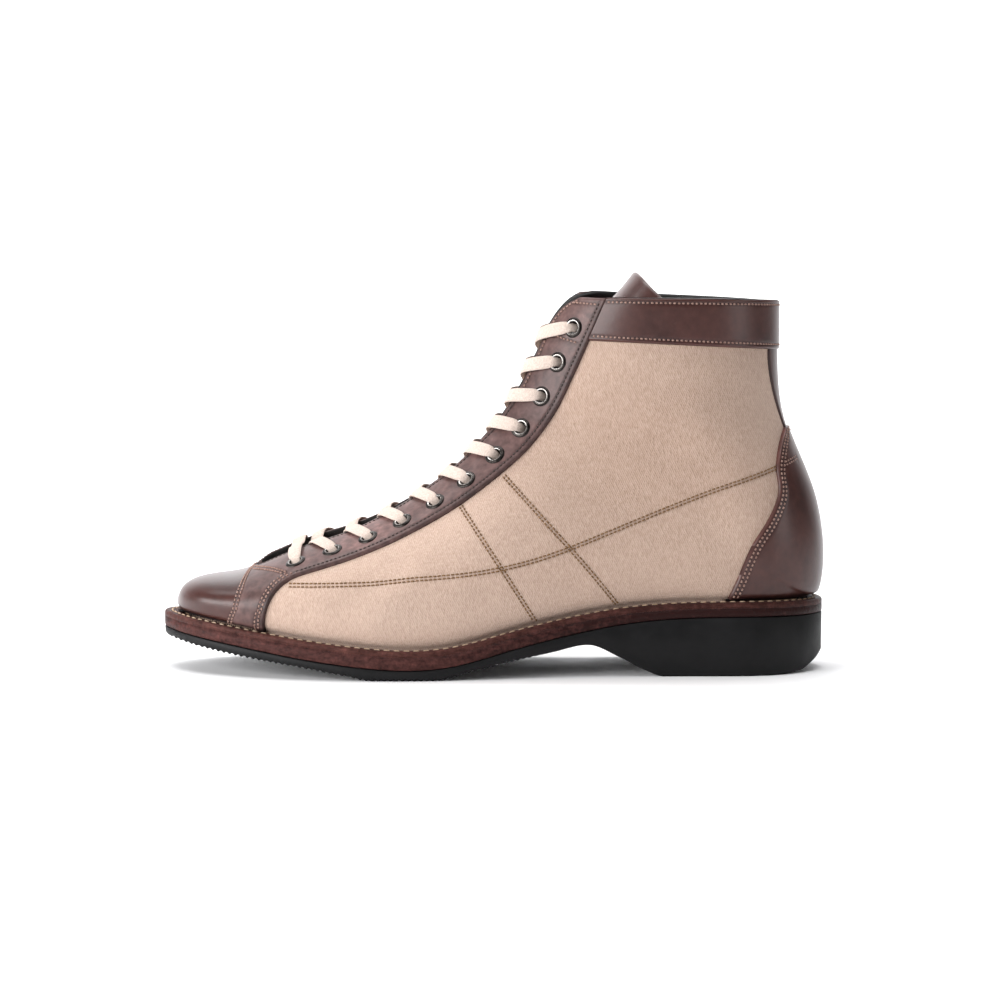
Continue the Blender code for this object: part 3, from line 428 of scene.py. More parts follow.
def surface(station, turn, side):
    """Point of the upper's outer face. turn runs from 0 on the ridge to 1 at the foot or back."""
    size = section(station)
    wide = size["outer_y"] if side < 0 else size["inner_y"]
    foot = foot_y(size["bottom_x"], station, side)
    upper = np.clip(turn / HALF_WAY, 0.0, 1.0) * math.pi / 2
    sweep = lower_sweep(size, station)
    lower = np.clip((turn - HALF_WAY) / (1.0 - HALF_WAY), 0.0, 1.0) * sweep
    crown = 2.0 / size["crown"]
    y_upper = size["ridge_y"] + (wide - size["ridge_y"]) * np.sin(upper) ** crown
    y_lower = foot + (wide - foot) * (np.cos(lower) - np.cos(sweep)) / (1.0 - np.cos(sweep))
    v_upper = size["widest"] + (1.0 - size["widest"]) * np.clip(np.cos(upper), 0.0, 1.0) ** crown
    v_lower = size["widest"] * (1.0 - np.sin(lower) / np.sin(sweep))
    high = turn <= HALF_WAY
    y = np.where(high, y_upper, y_lower)
    v = np.where(high, v_upper, v_lower)
    x = size["bottom_x"] + v * (size["top_x"] - size["bottom_x"])
    z = size["bottom_z"] + v * (size["top_z"] - size["bottom_z"]) + flare(station, turn, side)
    return np.stack(np.broadcast_arrays(x, y, z), axis=-1)


def outward(station, turn, side):
    """Unit normal of the upper's outer face."""
    step = 0.004
    a = np.clip(station, 0.03, len(SECTIONS) - 1.03)
    b = np.clip(turn, 0.006, 0.994)
    along = surface(a + step, b, side) - surface(a - step, b, side)
    round_it = surface(a, b + step, side) - surface(a, b - step, side)
    return unit(np.cross(along, round_it) * side)


def on_both(station, turn):
    """Where a point lies on one of the lines that both sides share."""
    return (station <= 0.0) | (turn <= 0.0) | ((turn >= 1.0) & (station >= HEEL_END))


def skin(station, turn, side, depth):
    """Point at a depth over the upper's outer face. Both sides agree on the lines they share."""
    station, turn = np.broadcast_arrays(np.asarray(station, float), np.asarray(turn, float))
    depth = np.asarray(depth, float)[..., None]
    here = surface(station, turn, side) + depth * outward(station, turn, side)
    there = surface(station, turn, -side) + depth * outward(station, turn, -side)
    return np.where(on_both(station, turn)[..., None], (here + there) / 2.0, here)


def bisect(rises, low, high):
    """Where a rising function passes zero, between two bounds, for arrays."""
    low, high = np.array(low, float), np.array(high, float)
    for _ in range(40):
        middle = (low + high) / 2.0
        over = rises(middle) > 0.0
        high = np.where(over, middle, high)
        low = np.where(over, low, middle)
    return (low + high) / 2.0


def locate(x, z):
    """Station and turn of the outer face's point seen at x and z in the side view."""
    x, z = np.asarray(x, float), np.asarray(z, float)

    def behind(station):
        size = section(station)
        across = size["top_x"] - size["bottom_x"]
        up = size["top_z"] - size["bottom_z"]
        return across * (z - size["bottom_z"]) - up * (x - size["bottom_x"])

    station = bisect(behind, np.zeros_like(x), np.full_like(x, COLLAR))
    size = section(station)
    across = size["top_x"] - size["bottom_x"]
    up = size["top_z"] - size["bottom_z"]
    v = ((x - size["bottom_x"]) * across + (z - size["bottom_z"]) * up) / (across ** 2 + up ** 2)
    v = np.clip(v, 0.0, 1.0)
    upper = np.clip((v - size["widest"]) / (1.0 - size["widest"]), 0.0, 1.0) ** (size["crown"] / 2.0)
    sweep = lower_sweep(size, station)
    lower = np.arcsin(np.clip(1.0 - v / size["widest"], 0.0, 1.0) * np.sin(sweep)) / sweep
    turn_upper = np.arccos(upper) * 2.0 / math.pi * HALF_WAY
    turn_lower = HALF_WAY + lower * (1.0 - HALF_WAY)
    return station, np.where(v >= size["widest"], turn_upper, turn_lower)


def welt_turn(station, side, clear):
    """Turn at which the outer face comes down to a height over the welt, or 1 where it stays above."""
    station = np.asarray(station, float)

    def under(turn):
        point = surface(station, turn, side)
        return seat_z(point[..., 0]) + clear - point[..., 2]

    low = np.full_like(station, 0.3)
    whole = np.ones_like(station)
    return np.where(under(whole) < 0.0, 1.0, bisect(under, low, whole))


ridge_stations = np.linspace(THROAT_START, COLLAR, 300)
ridge_line = np.stack([section_curve[name](ridge_stations) for name in ("top_x", "top_z")], axis=1)
ridge_length = lengths(ridge_line)


def throat_half(station):
    """Half width of the throat, round in front and spread by the round corners at the collar."""
    along = np.interp(station, ridge_stations, ridge_length)
    front = np.clip(1.0 - along / THROAT_ROUND, 0.0, 1.0)
    half = (THROAT_HALF + THROAT_SPREAD * (station - THROAT_START)) * np.sqrt(1.0 - front ** 2)
    corner = np.clip(1.0 - (ridge_length[-1] - along) / CORNER_ROUND, 0.0, 1.0)
    return half + CORNER_ROUND * (1.0 - np.sqrt(1.0 - corner ** 2))


def turn_at(station, distance, side):
    """Turn of the point at a distance across from the ridge."""
    size = section(station)
    wide = size["outer_y"] if side < 0 else size["inner_y"]
    share = np.clip(distance / np.maximum(np.abs(wide - size["ridge_y"]), 0.001), 0.0, 1.0)
    return np.arcsin(share ** (size["crown"] / 2.0)) * 2.0 / math.pi * HALF_WAY


def throat_turn(station, side):
    """Turn of the throat's edge, 0 in front of the throat."""
    station = np.asarray(station, float)
    return np.where(station <= THROAT_START, 0.0, turn_at(station, throat_half(station), side))


def lifted(station, turn, side):
    """Station on a side, with the collar raised in front on the inner side."""
    share = np.clip((station - RAISE_START) / (COLLAR - RAISE_START), 0.0, 1.0) ** 2
    front = np.clip((RAISE_BACK - turn) / (RAISE_BACK - RAISE_FRONT), 0.0, 1.0)
    return station + INNER_RAISE * (side > 0) * share * front


def cap_edge(share):
    """Station of the toe cap's rear edge at a share of the way down to the welt."""
    return CAP_WELT + CAP_RIDGE * (1.0 - share) ** CAP_BEND


STAY_END = len(STAY) - 1.0
stay_places = np.arange(len(STAY), dtype=float)
stay_share = through(stay_places, stay_rows["cap_share"], steady_slopes)
stay_station = through(stay_places, stay_rows["station"], steady_slopes)
stay_rear_x = through(stay_places, stay_rows["rear_x"], smooth_slopes)
stay_rear_z = through(stay_places, stay_rows["rear_z"], smooth_slopes)


def stay_point(place, share, side):
    """Station and turn of a point of the eyelet stay, along its rows and across from its front edge."""
    down = stay_share(place)
    band = down > 0.0
    front_station = np.where(band, cap_edge(down) + CAP_GAP, stay_station(place))
    cap_turn = down * welt_turn(front_station, side, WELT_CLEAR)
    front_turn = np.where(band, cap_turn, throat_turn(front_station, side))
    front_turn = front_turn + turn_at(front_station, STAY_INSET, side)
    rear_station, rear_turn = locate(stay_rear_x(place), stay_rear_z(place))
    rear_turn = np.minimum(rear_turn, welt_turn(rear_station, side, WELT_CLEAR))
    station = front_station + share * (rear_station - front_station)
    turn = front_turn + share * (rear_turn - front_turn)
    return lifted(station, turn, side), turn


def band_bottom(turn, side):
    """Station of the collar band's lower edge at a turn."""

    def above(station):
        point = surface(station, turn, side)
        return point[..., 2] - BAND_FRONT_Z + BAND_FALL * (point[..., 0] - BAND_FRONT_X)

    return bisect(above, np.full_like(turn, HEEL_END), np.full_like(turn, COLLAR))


def eyelet_places(side):
    """Station and turn of each eyelet of one side, evenly spaced along the stay."""
    place = np.linspace(EYELET_FIRST, EYELET_LAST, 200)
    station, turn = stay_point(place, EYELET_SHARE, side)
    length = lengths(surface(station, turn, side))
    even = np.interp(np.linspace(0.0, length[-1], EYELETS), length, place)
    return stay_point(even, EYELET_SHARE, side)


# Looks of the leather: height of its outer face over the canvas, and how its cut edges are rounded
WELT_CLEAR = 0.2  # the leather ends this far over the welt
CAP_TOP = 1.3
CAP_UNDER = 0.05  # stations by which its rear edge lies under the band
STAY_TOP = 1.8
BAND_TOP = 1.7
COUNTER_TOP = 1.9
COUNTER_FOOT = 33.4  # height of its lower edge on the back
COUNTER_RISE = 1.5  # what its top rises from the front edge to the back
STRAP_TOP = 0.9
STAY_EDGE = 0.4  # tone of the cut edges: plus gives a dark painted shade, minus a pale raw edge
STAY_EDGE_WIDE = 1.7
BAND_EDGE = -0.25
COUNTER_EDGE = -0.5
STRAP_EDGE = 0.4
STAY_LIT = 0.35  # the stay is painted paler over the ball of the foot, a painted light, here and this far along
STAY_LIT_AT = -62.0
STAY_LIT_RUN = 24.0
RIM_TOP = 1.2  # the lining is turned up over the cut edges to here
EDGE_ROUND = 1.0
EDGE_WIDE = 0.8  # strip of another tone along a cut edge
EDGE_BLUR = 0.8  # and how softly it ends
EDGE_DIP = 0.35  # how far the skirt of an edge reaches into the canvas
GROOVE = 0.25  # depth of the trough along a row of stitches
GROOVE_WIDE = 0.6
GROOVE_SHADE = 0.6  # how dark the painted shade in it makes the leather, of 1
SHADE_HIGH = 3.6  # the leather is painted dark with shade this far up from the welt
TUCK_DEEP = 2.9  # how far the upper draws in above the welt at the toe and the heel
TUCK_SIDE = 0.7  # and along the sides
TUCK_HIGH = 3.2
TUCK_TOE = -100.0  # the toe begins and the heel begins here
TUCK_HEEL = 103.0
TUCK_RUN = 12.0
TUCK_BEND = 1.5
HEEL_CENTRE = 100.0  # behind LEVEL_FROM the foot of the counter stands level out from here
LEVEL_FROM = 124.0
LEVEL_RUN = 12.0
LEVEL_HIGH = 7.0

# Rows and columns of the grids of points
CANVAS_GRID = (270, 96)
LINING_GRID = (120, 34)
CAP_GRID = (60, 60)
STAY_GRID = (360, 56)
STAY_CLOSE = 0.2  # how far the stay's rows draw together at both ends, of 1
COUNTER_GRID = (90, 70)
BAND_GRID = (34, 110)
STRAP_GRID = (60, 24)
TONGUE_GRID = (110, 40)

# Stitches
STITCH_LONG = 1.35
SEAM_STITCH_LONG = 1.65
SEAM_STITCH_RADIUS = 0.36
STITCH_PITCH = 2.0
STITCH_RADIUS = 0.36
BROWN_STITCH_RADIUS = 0.43
WELT_STITCH_LONG = 3.3
WELT_STITCH_PITCH = 4.4
WELT_STITCH_RADIUS = 0.41
STITCH_SIDES = 5
STITCH_AHEAD = 0.4  # a stitch takes its direction from its row this far ahead and behind
STITCH_SINK = 0.1  # a row sits this deep in the counter and the band, or proud of canvas and lining
STAY_SINK = 0.05  # and this deep in the stay, or proud of it where the row goes across
THREADS = ("brown", "dark", "seam", "welt", "lining")
ROW_POINTS = 300  # points along a row of stitches, along a short one and along the stay's rows
SHORT_POINTS = 60
STAY_POINTS = 700
BAND_STITCHES = (0.105, 0.89)  # rows of the collar band, as shares of its height
BAND_START = 0.006  # turns from the stay to their first stitch
COUNTER_STITCHES = (1.8, 3.7)  # distances of the counter's rows from its edge
COUNTER_ROWS = (0.06, 0.2)  # from the counter's first and last mark to the ends of the rows
COUNTER_CLOSE = 1.5  # marks below its top within which the rows cross the back
SEAM_CLEAR = 0.8  # the seams of the canvas end this far over the welt
LINING_PITCH = 2.4
LINING_INSET = 1.8  # from the throat's edge to the lining's row
LINING_START = 0.3  # stations behind the throat's front end where it begins
LINING_TOP = 0.2  # stations below the collar where it runs round
WELT_ROW = 3.3  # reach of the welt's stitches, in the middle of its groove
STITCH_COLUMNS = ("ring", "along", "thick", "sink")
STITCH = (
    ("start", -0.50, 0.45, 1.1),
    ("front", -0.28, 1.00, 0.0),
    ("rear", 0.28, 1.00, 0.0),
    ("stop", 0.50, 0.45, 1.1),
)

# Rows along the stay, at a distance from its rear or its front edge, between two of its places.
# Columns: thread, distance, from_rear, start, stop
STAY_STITCHES = (
    ("brown", 2.7, True, 0.25, 4.0),
    ("brown", 4.6, True, 0.0, 3.6),
    ("brown", 1.3, False, 0.25, 4.0),
    ("brown", 3.2, False, 0.25, 4.0),
    ("dark", 2.7, True, 4.0, 14.0),
    ("dark", 2.9, False, 4.3, 11.0),
    ("brown", 2.9, False, 11.0, 14.0),
)
STAY_ROWS = (0.02, 0.06)  # from the stay's first and last place to the ends of its rows
STAY_CROSS_ROWS = (3.46, 3.64, 12.36, 12.90)  # places of the rows across it
STAY_CROSS_SPAN = (0.15, 0.86)

# Double seams on the canvas in the side view, the same on both sides of the boot
LONG_SEAM = (
    ("stay", -92.0, 41.6),
    ("vamp", -68.5, 42.3),
    ("ball", -33.0, 45.0),
    ("waist", -2.0, 48.4),
    ("front_cross", 20.5, 53.6),
    ("quarter", 47.5, 63.3),
    ("rise", 83.5, 77.7),
    ("heel", 101.5, 84.5),
    ("counter", 126.5, 93.0),
    ("back", 142.0, 99.3),
)
FRONT_SEAM = (
    ("stay", -15.0, 76.6),
    ("upper", -5.7, 63.0),
    ("middle", 7.2, 43.6),
    ("welt", 19.0, 24.4),
)
REAR_SEAM = (
    ("stay", 4.4, 90.2),
    ("upper", 22.4, 70.6),
    ("middle", 39.4, 52.0),
    ("lower", 49.5, 39.8),
    ("welt", 57.0, 30.4),
)
SEAM_APART = 1.4
SEAM_STOP = 0.95  # the long seam ends on the counter this far round

# Creases: soft troughs (minus) and ridges (plus) in the side view.
# Columns: place, x_from, z_from, x_to, z_to, depth, width
CREASES = (
    ("ankle_fold", 36.0, 112.0, 78.0, 104.0, -0.9, 9.0),
    ("ankle_ridge", 40.0, 126.0, 88.0, 120.0, 0.7, 10.0),
    ("heel_hollow", 96.0, 74.0, 112.0, 52.0, -0.7, 9.0),
    ("instep_pull", -8.0, 66.0, 24.0, 80.0, 0.5, 9.0),
    ("waist_hollow", -4.0, 36.0, 36.0, 42.0, -0.7, 8.0),
    ("vamp_break", -66.0, 33.0, -42.0, 52.0, -0.7, 6.0),
    ("vamp_ridge", -52.0, 28.0, -34.0, 46.0, 0.5, 6.0),
    ("top_swell", 62.0, 140.0, 110.0, 136.0, 0.6, 9.0),
)

# Soft patches in the side view where the canvas is painted darker with shade (plus) or paler with light
# (minus).
# Columns: place, x, z, wide, high, tone
SHADING_PATCHES = (
    ("ankle", 70.0, 104.0, 56.0, 40.0, 1.0),
    ("shaft", 66.0, 138.0, 40.0, 20.0, 0.1),
    ("back", 124.0, 130.0, 13.0, 32.0, -0.5),
    ("vamp_foot", -10.0, 27.0, 64.0, 13.0, -0.4),
)
GAP_SHADOW = 5.0  # painted black shadow, given the same way, on the strip that shows between the leather and the welt
GAP_SHADOW_HIGH = 2.0

# Lace from the eyelet that it enters on top to the inside of the eyelet below on the other side,
# at the first level and at the last.
# Columns: place, side, below, to_eyelet, depth, wide, thick
EYELET_WAY = (
    ("inside", 1.0, 0.00, 1.06, -5.0, 3.6, 1.4),
    ("hole", 1.0, 0.00, 1.02, -2.0, 3.8, 1.4),
    ("mouth", 1.0, 0.00, 0.90, 1.5, 4.8, 1.3),
)
FIRST_ROUTE = EYELET_WAY + (
    ("crest", 1.0, 0.14, 0.68, 3.0, 6.2, 1.2),
    ("near_edge", 1.0, 0.44, 0.12, 2.8, 6.6, 1.15),
    ("middle", 0.0, 0.62, 0.00, -2.8, 6.6, 1.1),
    ("far_edge", -1.0, 0.74, -0.12, -3.9, 6.6, 1.15),
    ("under", -1.0, 0.87, 0.55, -3.9, 5.4, 1.4),
)
LAST_ROUTE = EYELET_WAY + (
    ("crest", 1.0, 0.08, 0.70, 3.2, 6.2, 1.2),
    ("near_edge", 1.0, 0.36, -0.12, 3.2, 6.8, 1.15),
    ("middle", 0.0, 0.52, 0.00, -2.2, 6.8, 1.1),
    ("far_edge", -1.0, 0.72, -0.12, -3.9, 6.6, 1.15),
    ("under", -1.0, 0.87, 0.55, -3.9, 5.4, 1.4),
)
BAR = (
    ("inside", 1.0, 0.0, 1.06, -4.6, 3.6, 1.4),
    ("hole", 1.0, 0.0, 1.02, -2.0, 3.8, 1.4),
    ("mouth", 1.0, 0.0, 0.90, 1.5, 4.8, 1.3),
    ("crest", 1.0, 0.0, 0.70, 3.3, 6.2, 1.2),
    ("near_edge", 1.0, 0.0, 0.05, 3.0, 6.8, 1.15),
)
BAR_MIDDLE = ("middle", 0.0, 0.0, 0.0, 2.4, 6.8, 1.1)
FLAT_WIDE = 6.1  # rows of the route at least this wide lie flat on the boot
LACE_SIDES = 12
LACE_STEPS = 7  # rings between two rows of the route
LACE_OVER = 0.8  # one strand of a crossing lies this much over the other
LACE_SQUARE = 3.2  # exponent of its section

# Sole: rings round the outline, from the inside of the top to the inside of the bottom.
# Columns: ring, reach, down, drop
WELT_RINGS = (
    ("inside", 0.1, 1.0, 0.0),
    ("inside_top", 0.1, 0.0, -0.5),
    ("top_inner", 0.9, 0.0, 0.0),
    ("groove_inner", 2.6, 0.0, 0.0),
    ("groove", 3.3, 0.0, -0.35),
    ("groove_outer", 4.0, 0.0, 0.0),
    ("top_outer", 5.6, 0.0, 0.0),
    ("edge_top", 6.4, 0.0, -0.45),
    ("edge", 6.75, 0.0, -1.2),
    ("edge_bottom", 6.75, 1.0, 0.05),
    ("under", 6.3, 1.0, 0.0),
)
MIDSOLE_RINGS = (
    ("top_inner", 5.0, 0.0, 0.0),
    ("top", 6.4, 0.0, 0.28),
    ("edge_top", 6.75, 0.0, 0.33),
    ("edge", 6.8, 0.5, 0.0),
    ("edge_bottom", 6.7, 1.0, 0.35),
    ("bottom", 6.3, 1.0, 0.0),
)
RUBBER_RINGS = (
    ("top_inner", 5.0, 0.0, 0.0),
    ("top", 6.35, 0.0, 0.0),
    ("edge_top", 6.7, 0.0, -0.4),
    ("edge", 6.6, 0.5, 0.0),
    ("edge_bottom", 6.55, 1.0, 0.8),
    ("bottom", 5.9, 1.0, 0.0),
)
SOLE_STEPS = 900
SOLE_ACROSS = 10
RIB_PITCH = 2.7  # tread ribs under the forefoot
RIB_DEEP = 0.6
RIB_START = -150.0
RIB_STOP = 22.0
RIB_IN = 3.0  # lengths over which they begin and end
RIB_OUT = 12.0
RIB_STEEP = 3.0
INSOLE_ROUND = 0.6

# Eyelet: rolled rim outside, barrel through the wall, turned round its axis
EYELET_COLUMNS = ("ring", "radius", "depth")
EYELET_PROFILE = (
    ("skirt", 4.75, 1.60),
    ("rim", 4.60, 1.95),
    ("shoulder", 4.05, 2.30),
    ("crest", 3.45, 2.45),
    ("roll", 2.95, 2.30),
    ("lip", 2.62, 1.85),
    ("throat", 2.50, 1.20),
    ("barrel", 2.50, -2.30),
)
EYELET_BRIGHT = 3  # row of the rim's faces painted in a bright metal, a painted highlight on the inner roll
EYELET_TURNS = 32
PUNCH = 3.3  # radius of the punched hole under an eyelet
PUNCH_DEEP = 8.0

TONGUE_ROUND = 0.9

# Back strap: half its width at stations
STRAP_COLUMNS = ("place", "station", "half")
STRAP = (
    ("counter", 13.55, 6.5),
    ("waist", 14.10, 9.5),
    ("ankle", 14.60, 13.2),
    ("band", 16.40, 14.0),
)

# Dark and light colour of each material
COLOURS = {
    "brown_leather_look": ((0.040, 0.0136, 0.0112), (0.071, 0.0258, 0.0210)),
    "worn_leather_look": ((0.056, 0.0270, 0.0245), (0.124, 0.066, 0.060)),
    "footbed_leather": ((0.22, 0.14, 0.085), (0.34, 0.23, 0.145)),
    "lining_leather": ((0.010, 0.009, 0.009), (0.022, 0.020, 0.020)),
    "welt_leather": ((0.031, 0.0098, 0.0080), (0.088, 0.0335, 0.0275)),
    "midsole_edge": ((0.020, 0.0064, 0.0058), (0.078, 0.0288, 0.0250)),
    "black_rubber_look": ((0.0020, 0.0020, 0.0024), (0.0065, 0.0063, 0.0070)),
    "gunmetal_look": ((0.018, 0.015, 0.014), (0.052, 0.046, 0.043)),
    # bright metal of the eyelets' inner roll, a painted highlight
    "painted_highlight_rim": ((0.20, 0.185, 0.175), (0.46, 0.44, 0.42)),
    "cotton_weave": ((0.475, 0.38, 0.325), (0.665, 0.55, 0.485)),
    "brown_thread": ((0.205, 0.108, 0.084), (0.39, 0.245, 0.198)),
    "dark_thread": ((0.020, 0.011, 0.009), (0.055, 0.034, 0.028)),
    "seam_thread": ((0.105, 0.051, 0.016), (0.225, 0.120, 0.045)),
    "welt_thread": ((0.42, 0.28, 0.175), (0.62, 0.46, 0.325)),
    "lining_thread": ((0.25, 0.20, 0.17), (0.45, 0.39, 0.34)),
}
# the darkest stops give the black of the painted shadow in the gap over the welt
CANVAS_COLOURS = (
    (0.0, (0.012, 0.006, 0.005)),
    (0.06, (0.318, 0.214, 0.161)),
    (0.21, (0.425, 0.302, 0.238)),
    (0.55, (0.655, 0.50, 0.418)),
)
PAPER = (0.93, 0.93, 0.94, 1.0)
TWILL_PITCH = 0.95  # ribs of the canvas and of the lace
LACE_RIB = 0.85

# Studio
CAMERA_AIM = (2.8, 0.0, 77.0)
CAMERA_AWAY = 1200.0
CAMERA_HIGH = 160.0
CAMERA_FOCAL = 93.8
CAMERA_SENSOR = 36.0
FLOOR_HALF = 4000.0
SWEEP_START = 900.0
SWEEP_RADIUS = 900.0
SWEEP_TOP = 3000.0
SWEEP_STEPS = 24
# Columns: light, x, y, z, aim_x, aim_y, aim_z, wide, high, watts
LIGHTS = (
    ("key", -1000.0, -780.0, 380.0, 0.0, 0.0, 60.0, 900.0, 700.0, 17.0),
    ("side", -1150.0, -150.0, 230.0, -100.0, 0.0, 50.0, 450.0, 300.0, 4.0),
    ("fill", 1300.0, -700.0, 250.0, 100.0, 0.0, 80.0, 500.0, 500.0, 2.2),
    ("top", -150.0, -50.0, 1700.0, 0.0, 0.0, 60.0, 1500.0, 1200.0, 22.0),
    ("wall", 0.0, 500.0, 1500.0, 0.0, 1800.0, 500.0, 3000.0, 800.0, 50.0),
)
WORLD_LIGHT = 0.12


# Materials

def node_of(tree, kind, inputs=(), **settings):
    """New shader node with its settings, and its inputs set or linked."""
    made = tree.nodes.new(kind)
    for name, value in settings.items():
        setattr(made, name, value)
    for name, value in dict(inputs).items():
        if isinstance(value, bpy.types.NodeSocket):
            tree.links.new(value, made.inputs[name])
        else:
            made.inputs[name].default_value = value
    return made


def new_material(name, roughness, **sockets):
    """Material with its shader's plain values set, its node tree and its shader."""
    made = bpy.data.materials.new(name)
    made.use_nodes = True
    shader = made.node_tree.nodes["Principled BSDF"]
    shader.inputs["Roughness"].default_value = roughness
    for socket, value in sockets.items():
        shader.inputs[socket.replace("_", " ")].default_value = value
    return made, made.node_tree, shader


def noise(tree, vector, scale, detail=3.0, roughness=0.55):
    """Noise over a vector, about 0.5 on average."""
    inputs = {"Vector": vector, "Scale": scale, "Detail": detail, "Roughness": roughness}
    return node_of(tree, "ShaderNodeTexNoise", inputs).outputs["Fac"]


def sums(tree, operation, *values):
    """Math node of two values."""
    made = node_of(tree, "ShaderNodeMath", operation=operation)
    for place, value in enumerate(values):
        if isinstance(value, bpy.types.NodeSocket):
            tree.links.new(value, made.inputs[place])
        else:
            made.inputs[place].default_value = value
    return made.outputs[0]


def ramp(tree, factor, *stops):
    """Colour ramp from stops of place and colour."""
    made = node_of(tree, "ShaderNodeValToRGB", {"Fac": factor})
    marks = made.color_ramp.elements
    while len(marks) < len(stops):
        marks.new(0.5)
    for mark, (place, colour) in zip(marks, stops):
        mark.position = place
        mark.color = (*colour, 1.0)
    return made.outputs["Color"]


def span(tree, factor, low, high, to_low, to_high):
    """Map Range node."""
    inputs = {"Value": factor, "From Min": low, "From Max": high, "To Min": to_low, "To Max": to_high}
    return node_of(tree, "ShaderNodeMapRange", inputs).outputs["Result"]


def bump(tree, shader, height, strength, distance, below=None):
    """Bump under a shader, on another bump where one is given."""
    inputs = {"Height": height, "Strength": strength, "Distance": distance}
    if below is not None:
        inputs["Normal"] = below
    made = node_of(tree, "ShaderNodeBump", inputs).outputs["Normal"]
    tree.links.new(made, shader.inputs["Normal"])
    return made


def feed(tree, shader, **sockets):
    """Links values to the inputs of a shader."""
    for name, value in sockets.items():
        tree.links.new(value, shader.inputs[name.replace("_", " ")])


def blend(tree, *parts):
    """Sum of values, each times its weight."""
    total = None
    for value, weight in parts:
        part = value if weight == 1.0 else sums(tree, "MULTIPLY", value, weight)
        total = part if total is None else sums(tree, "ADD", total, part)
    return total


def two_tones(tree, name, factor, low, high):
    """Colour of a material, from its dark to its light one."""
    dark, light = COLOURS[name]
    return ramp(tree, factor, (low, dark), (high, light))


def place_of(tree, kind="Object"):
    """Texture coordinate of a kind."""
    return node_of(tree, "ShaderNodeTexCoord").outputs[kind]


def painted_shading_of(tree):
    """Painted shade (plus), and painted light and pale raw cut edges (minus), of a mesh at its points."""
    return node_of(tree, "ShaderNodeAttribute", attribute_name="painted_shading_and_raw_edge").outputs["Fac"]


def waves(tree, along, pitch):
    """Waves of a pitch along a value."""
    return sums(tree, "SINE", sums(tree, "MULTIPLY", along, 2.0 * math.pi / pitch))


def canvas_material():
    """Beige canvas: a fine twill with upright pebbly grains."""
    made, tree, shader = new_material("canvas_twill", 0.92, Sheen_Weight=0.1, Sheen_Roughness=0.5,
                                      Specular_IOR_Level=0.2)
    upright = node_of(tree, "ShaderNodeMapping", {"Vector": place_of(tree), "Scale": (1.0, 1.0, 0.27)})
    grain = noise(tree, upright.outputs["Vector"], 1500.0, 2.0, 0.5)
    fine = noise(tree, place_of(tree), 2600.0, 2.0, 0.5)
    uv = node_of(tree, "ShaderNodeSeparateXYZ", {"Vector": place_of(tree, "UV")})
    slant = blend(tree, (uv.outputs["X"], 1.0), (uv.outputs["Y"], 0.5), (grain, 1.1))
    height = blend(tree, (waves(tree, slant, TWILL_PITCH), 0.12), (grain, 1.0), (fine, 0.2))
    cloud = noise(tree, place_of(tree), 30.0, 2.0)
    # the attribute darkens the canvas with painted shade and pales it with painted light
    tone = blend(tree, (height, 0.42), (cloud, 0.06), (painted_shading_of(tree), -0.10))
    feed(tree, shader, Base_Color=ramp(tree, tone, *CANVAS_COLOURS))
    bump(tree, shader, height, 0.6, 0.0005)
    return made


def leather_material(name, roughness, coat=0.1, pore=1.0, mottled=0.3):
    """Leather with a fine grain, cloudy dye and a waxed finish, darkened with painted shade and paled with
    painted light and along raw cut edges.
    """
    made, tree, shader = new_material(name, roughness, Coat_Weight=coat, Coat_Roughness=0.2,
                                      Specular_IOR_Level=0.36)
    dark, light = COLOURS[name]
    shadowed = [value * 0.16 for value in dark]
    cut = [value * 2.6 for value in light]
    place = place_of(tree)
    painted_shading_and_raw_edge = painted_shading_of(tree)
    cloud = noise(tree, place, 34.0, 2.0, 0.5)
    mottle = noise(tree, place, 300.0, 2.0, 0.5)
    tone = blend(tree, (cloud, 1.0 - mottled), (mottle, mottled))
    # painted shade darkens the tone down to the darkest stop; painted light and raw cut edges pale it
    shaded = blend(tree, (tone, 1.0), (painted_shading_and_raw_edge, -0.42))
    colour = ramp(tree, shaded, (0.05, shadowed), (0.36, dark), (0.64, light), (0.95, cut))
    dull = span(tree, tone, 0.3, 0.7, roughness, roughness + 0.05)
    rough = blend(tree, (dull, 1.0), (sums(tree, "ABSOLUTE", painted_shading_and_raw_edge), 0.25))
    feed(tree, shader, Base_Color=colour, Roughness=rough)
    cells = node_of(tree, "ShaderNodeTexVoronoi", {"Vector": place, "Scale": 1150.0}, feature="SMOOTH_F1")
    wrinkle = noise(tree, place, 260.0, 2.0, 0.5)
    first = bump(tree, shader, wrinkle, 0.11 * pore, 0.0004)
    bump(tree, shader, cells.outputs["Distance"], 0.10 * pore, 0.00018, first)
    return made


def stacked_leather(name, roughness, fade):
    """Trimmed leather edge, rough and mottled, with pits and pale scuffs, darker to the heel."""
    made, tree, shader = new_material(name, roughness, Specular_IOR_Level=0.10)
    dark, light = COLOURS[name]
    worn = [value * 1.9 for value in light]
    place = place_of(tree)
    stretch = node_of(tree, "ShaderNodeMapping", {"Vector": place, "Scale": (150.0, 150.0, 420.0)})
    streak = noise(tree, stretch.outputs["Vector"], 1.0, 4.0, 0.65)
    scuff = noise(tree, place, 480.0, 4.0, 0.7)
    along = node_of(tree, "ShaderNodeSeparateXYZ", {"Vector": place}).outputs["X"]
    fading = span(tree, along, -0.02, 0.075, 0.0, fade)
    tone = blend(tree, (streak, 0.5), (scuff, 0.5), (fading, -1.0))
    feed(tree, shader, Base_Color=ramp(tree, tone, (0.36, dark), (0.58, light), (0.72, worn)),
         Roughness=span(tree, tone, 0.3, 0.7, roughness - 0.1, roughness + 0.14))
    first = bump(tree, shader, streak, 0.5, 0.0010)
    bump(tree, shader, scuff, 0.55, 0.0008, first)
    return made


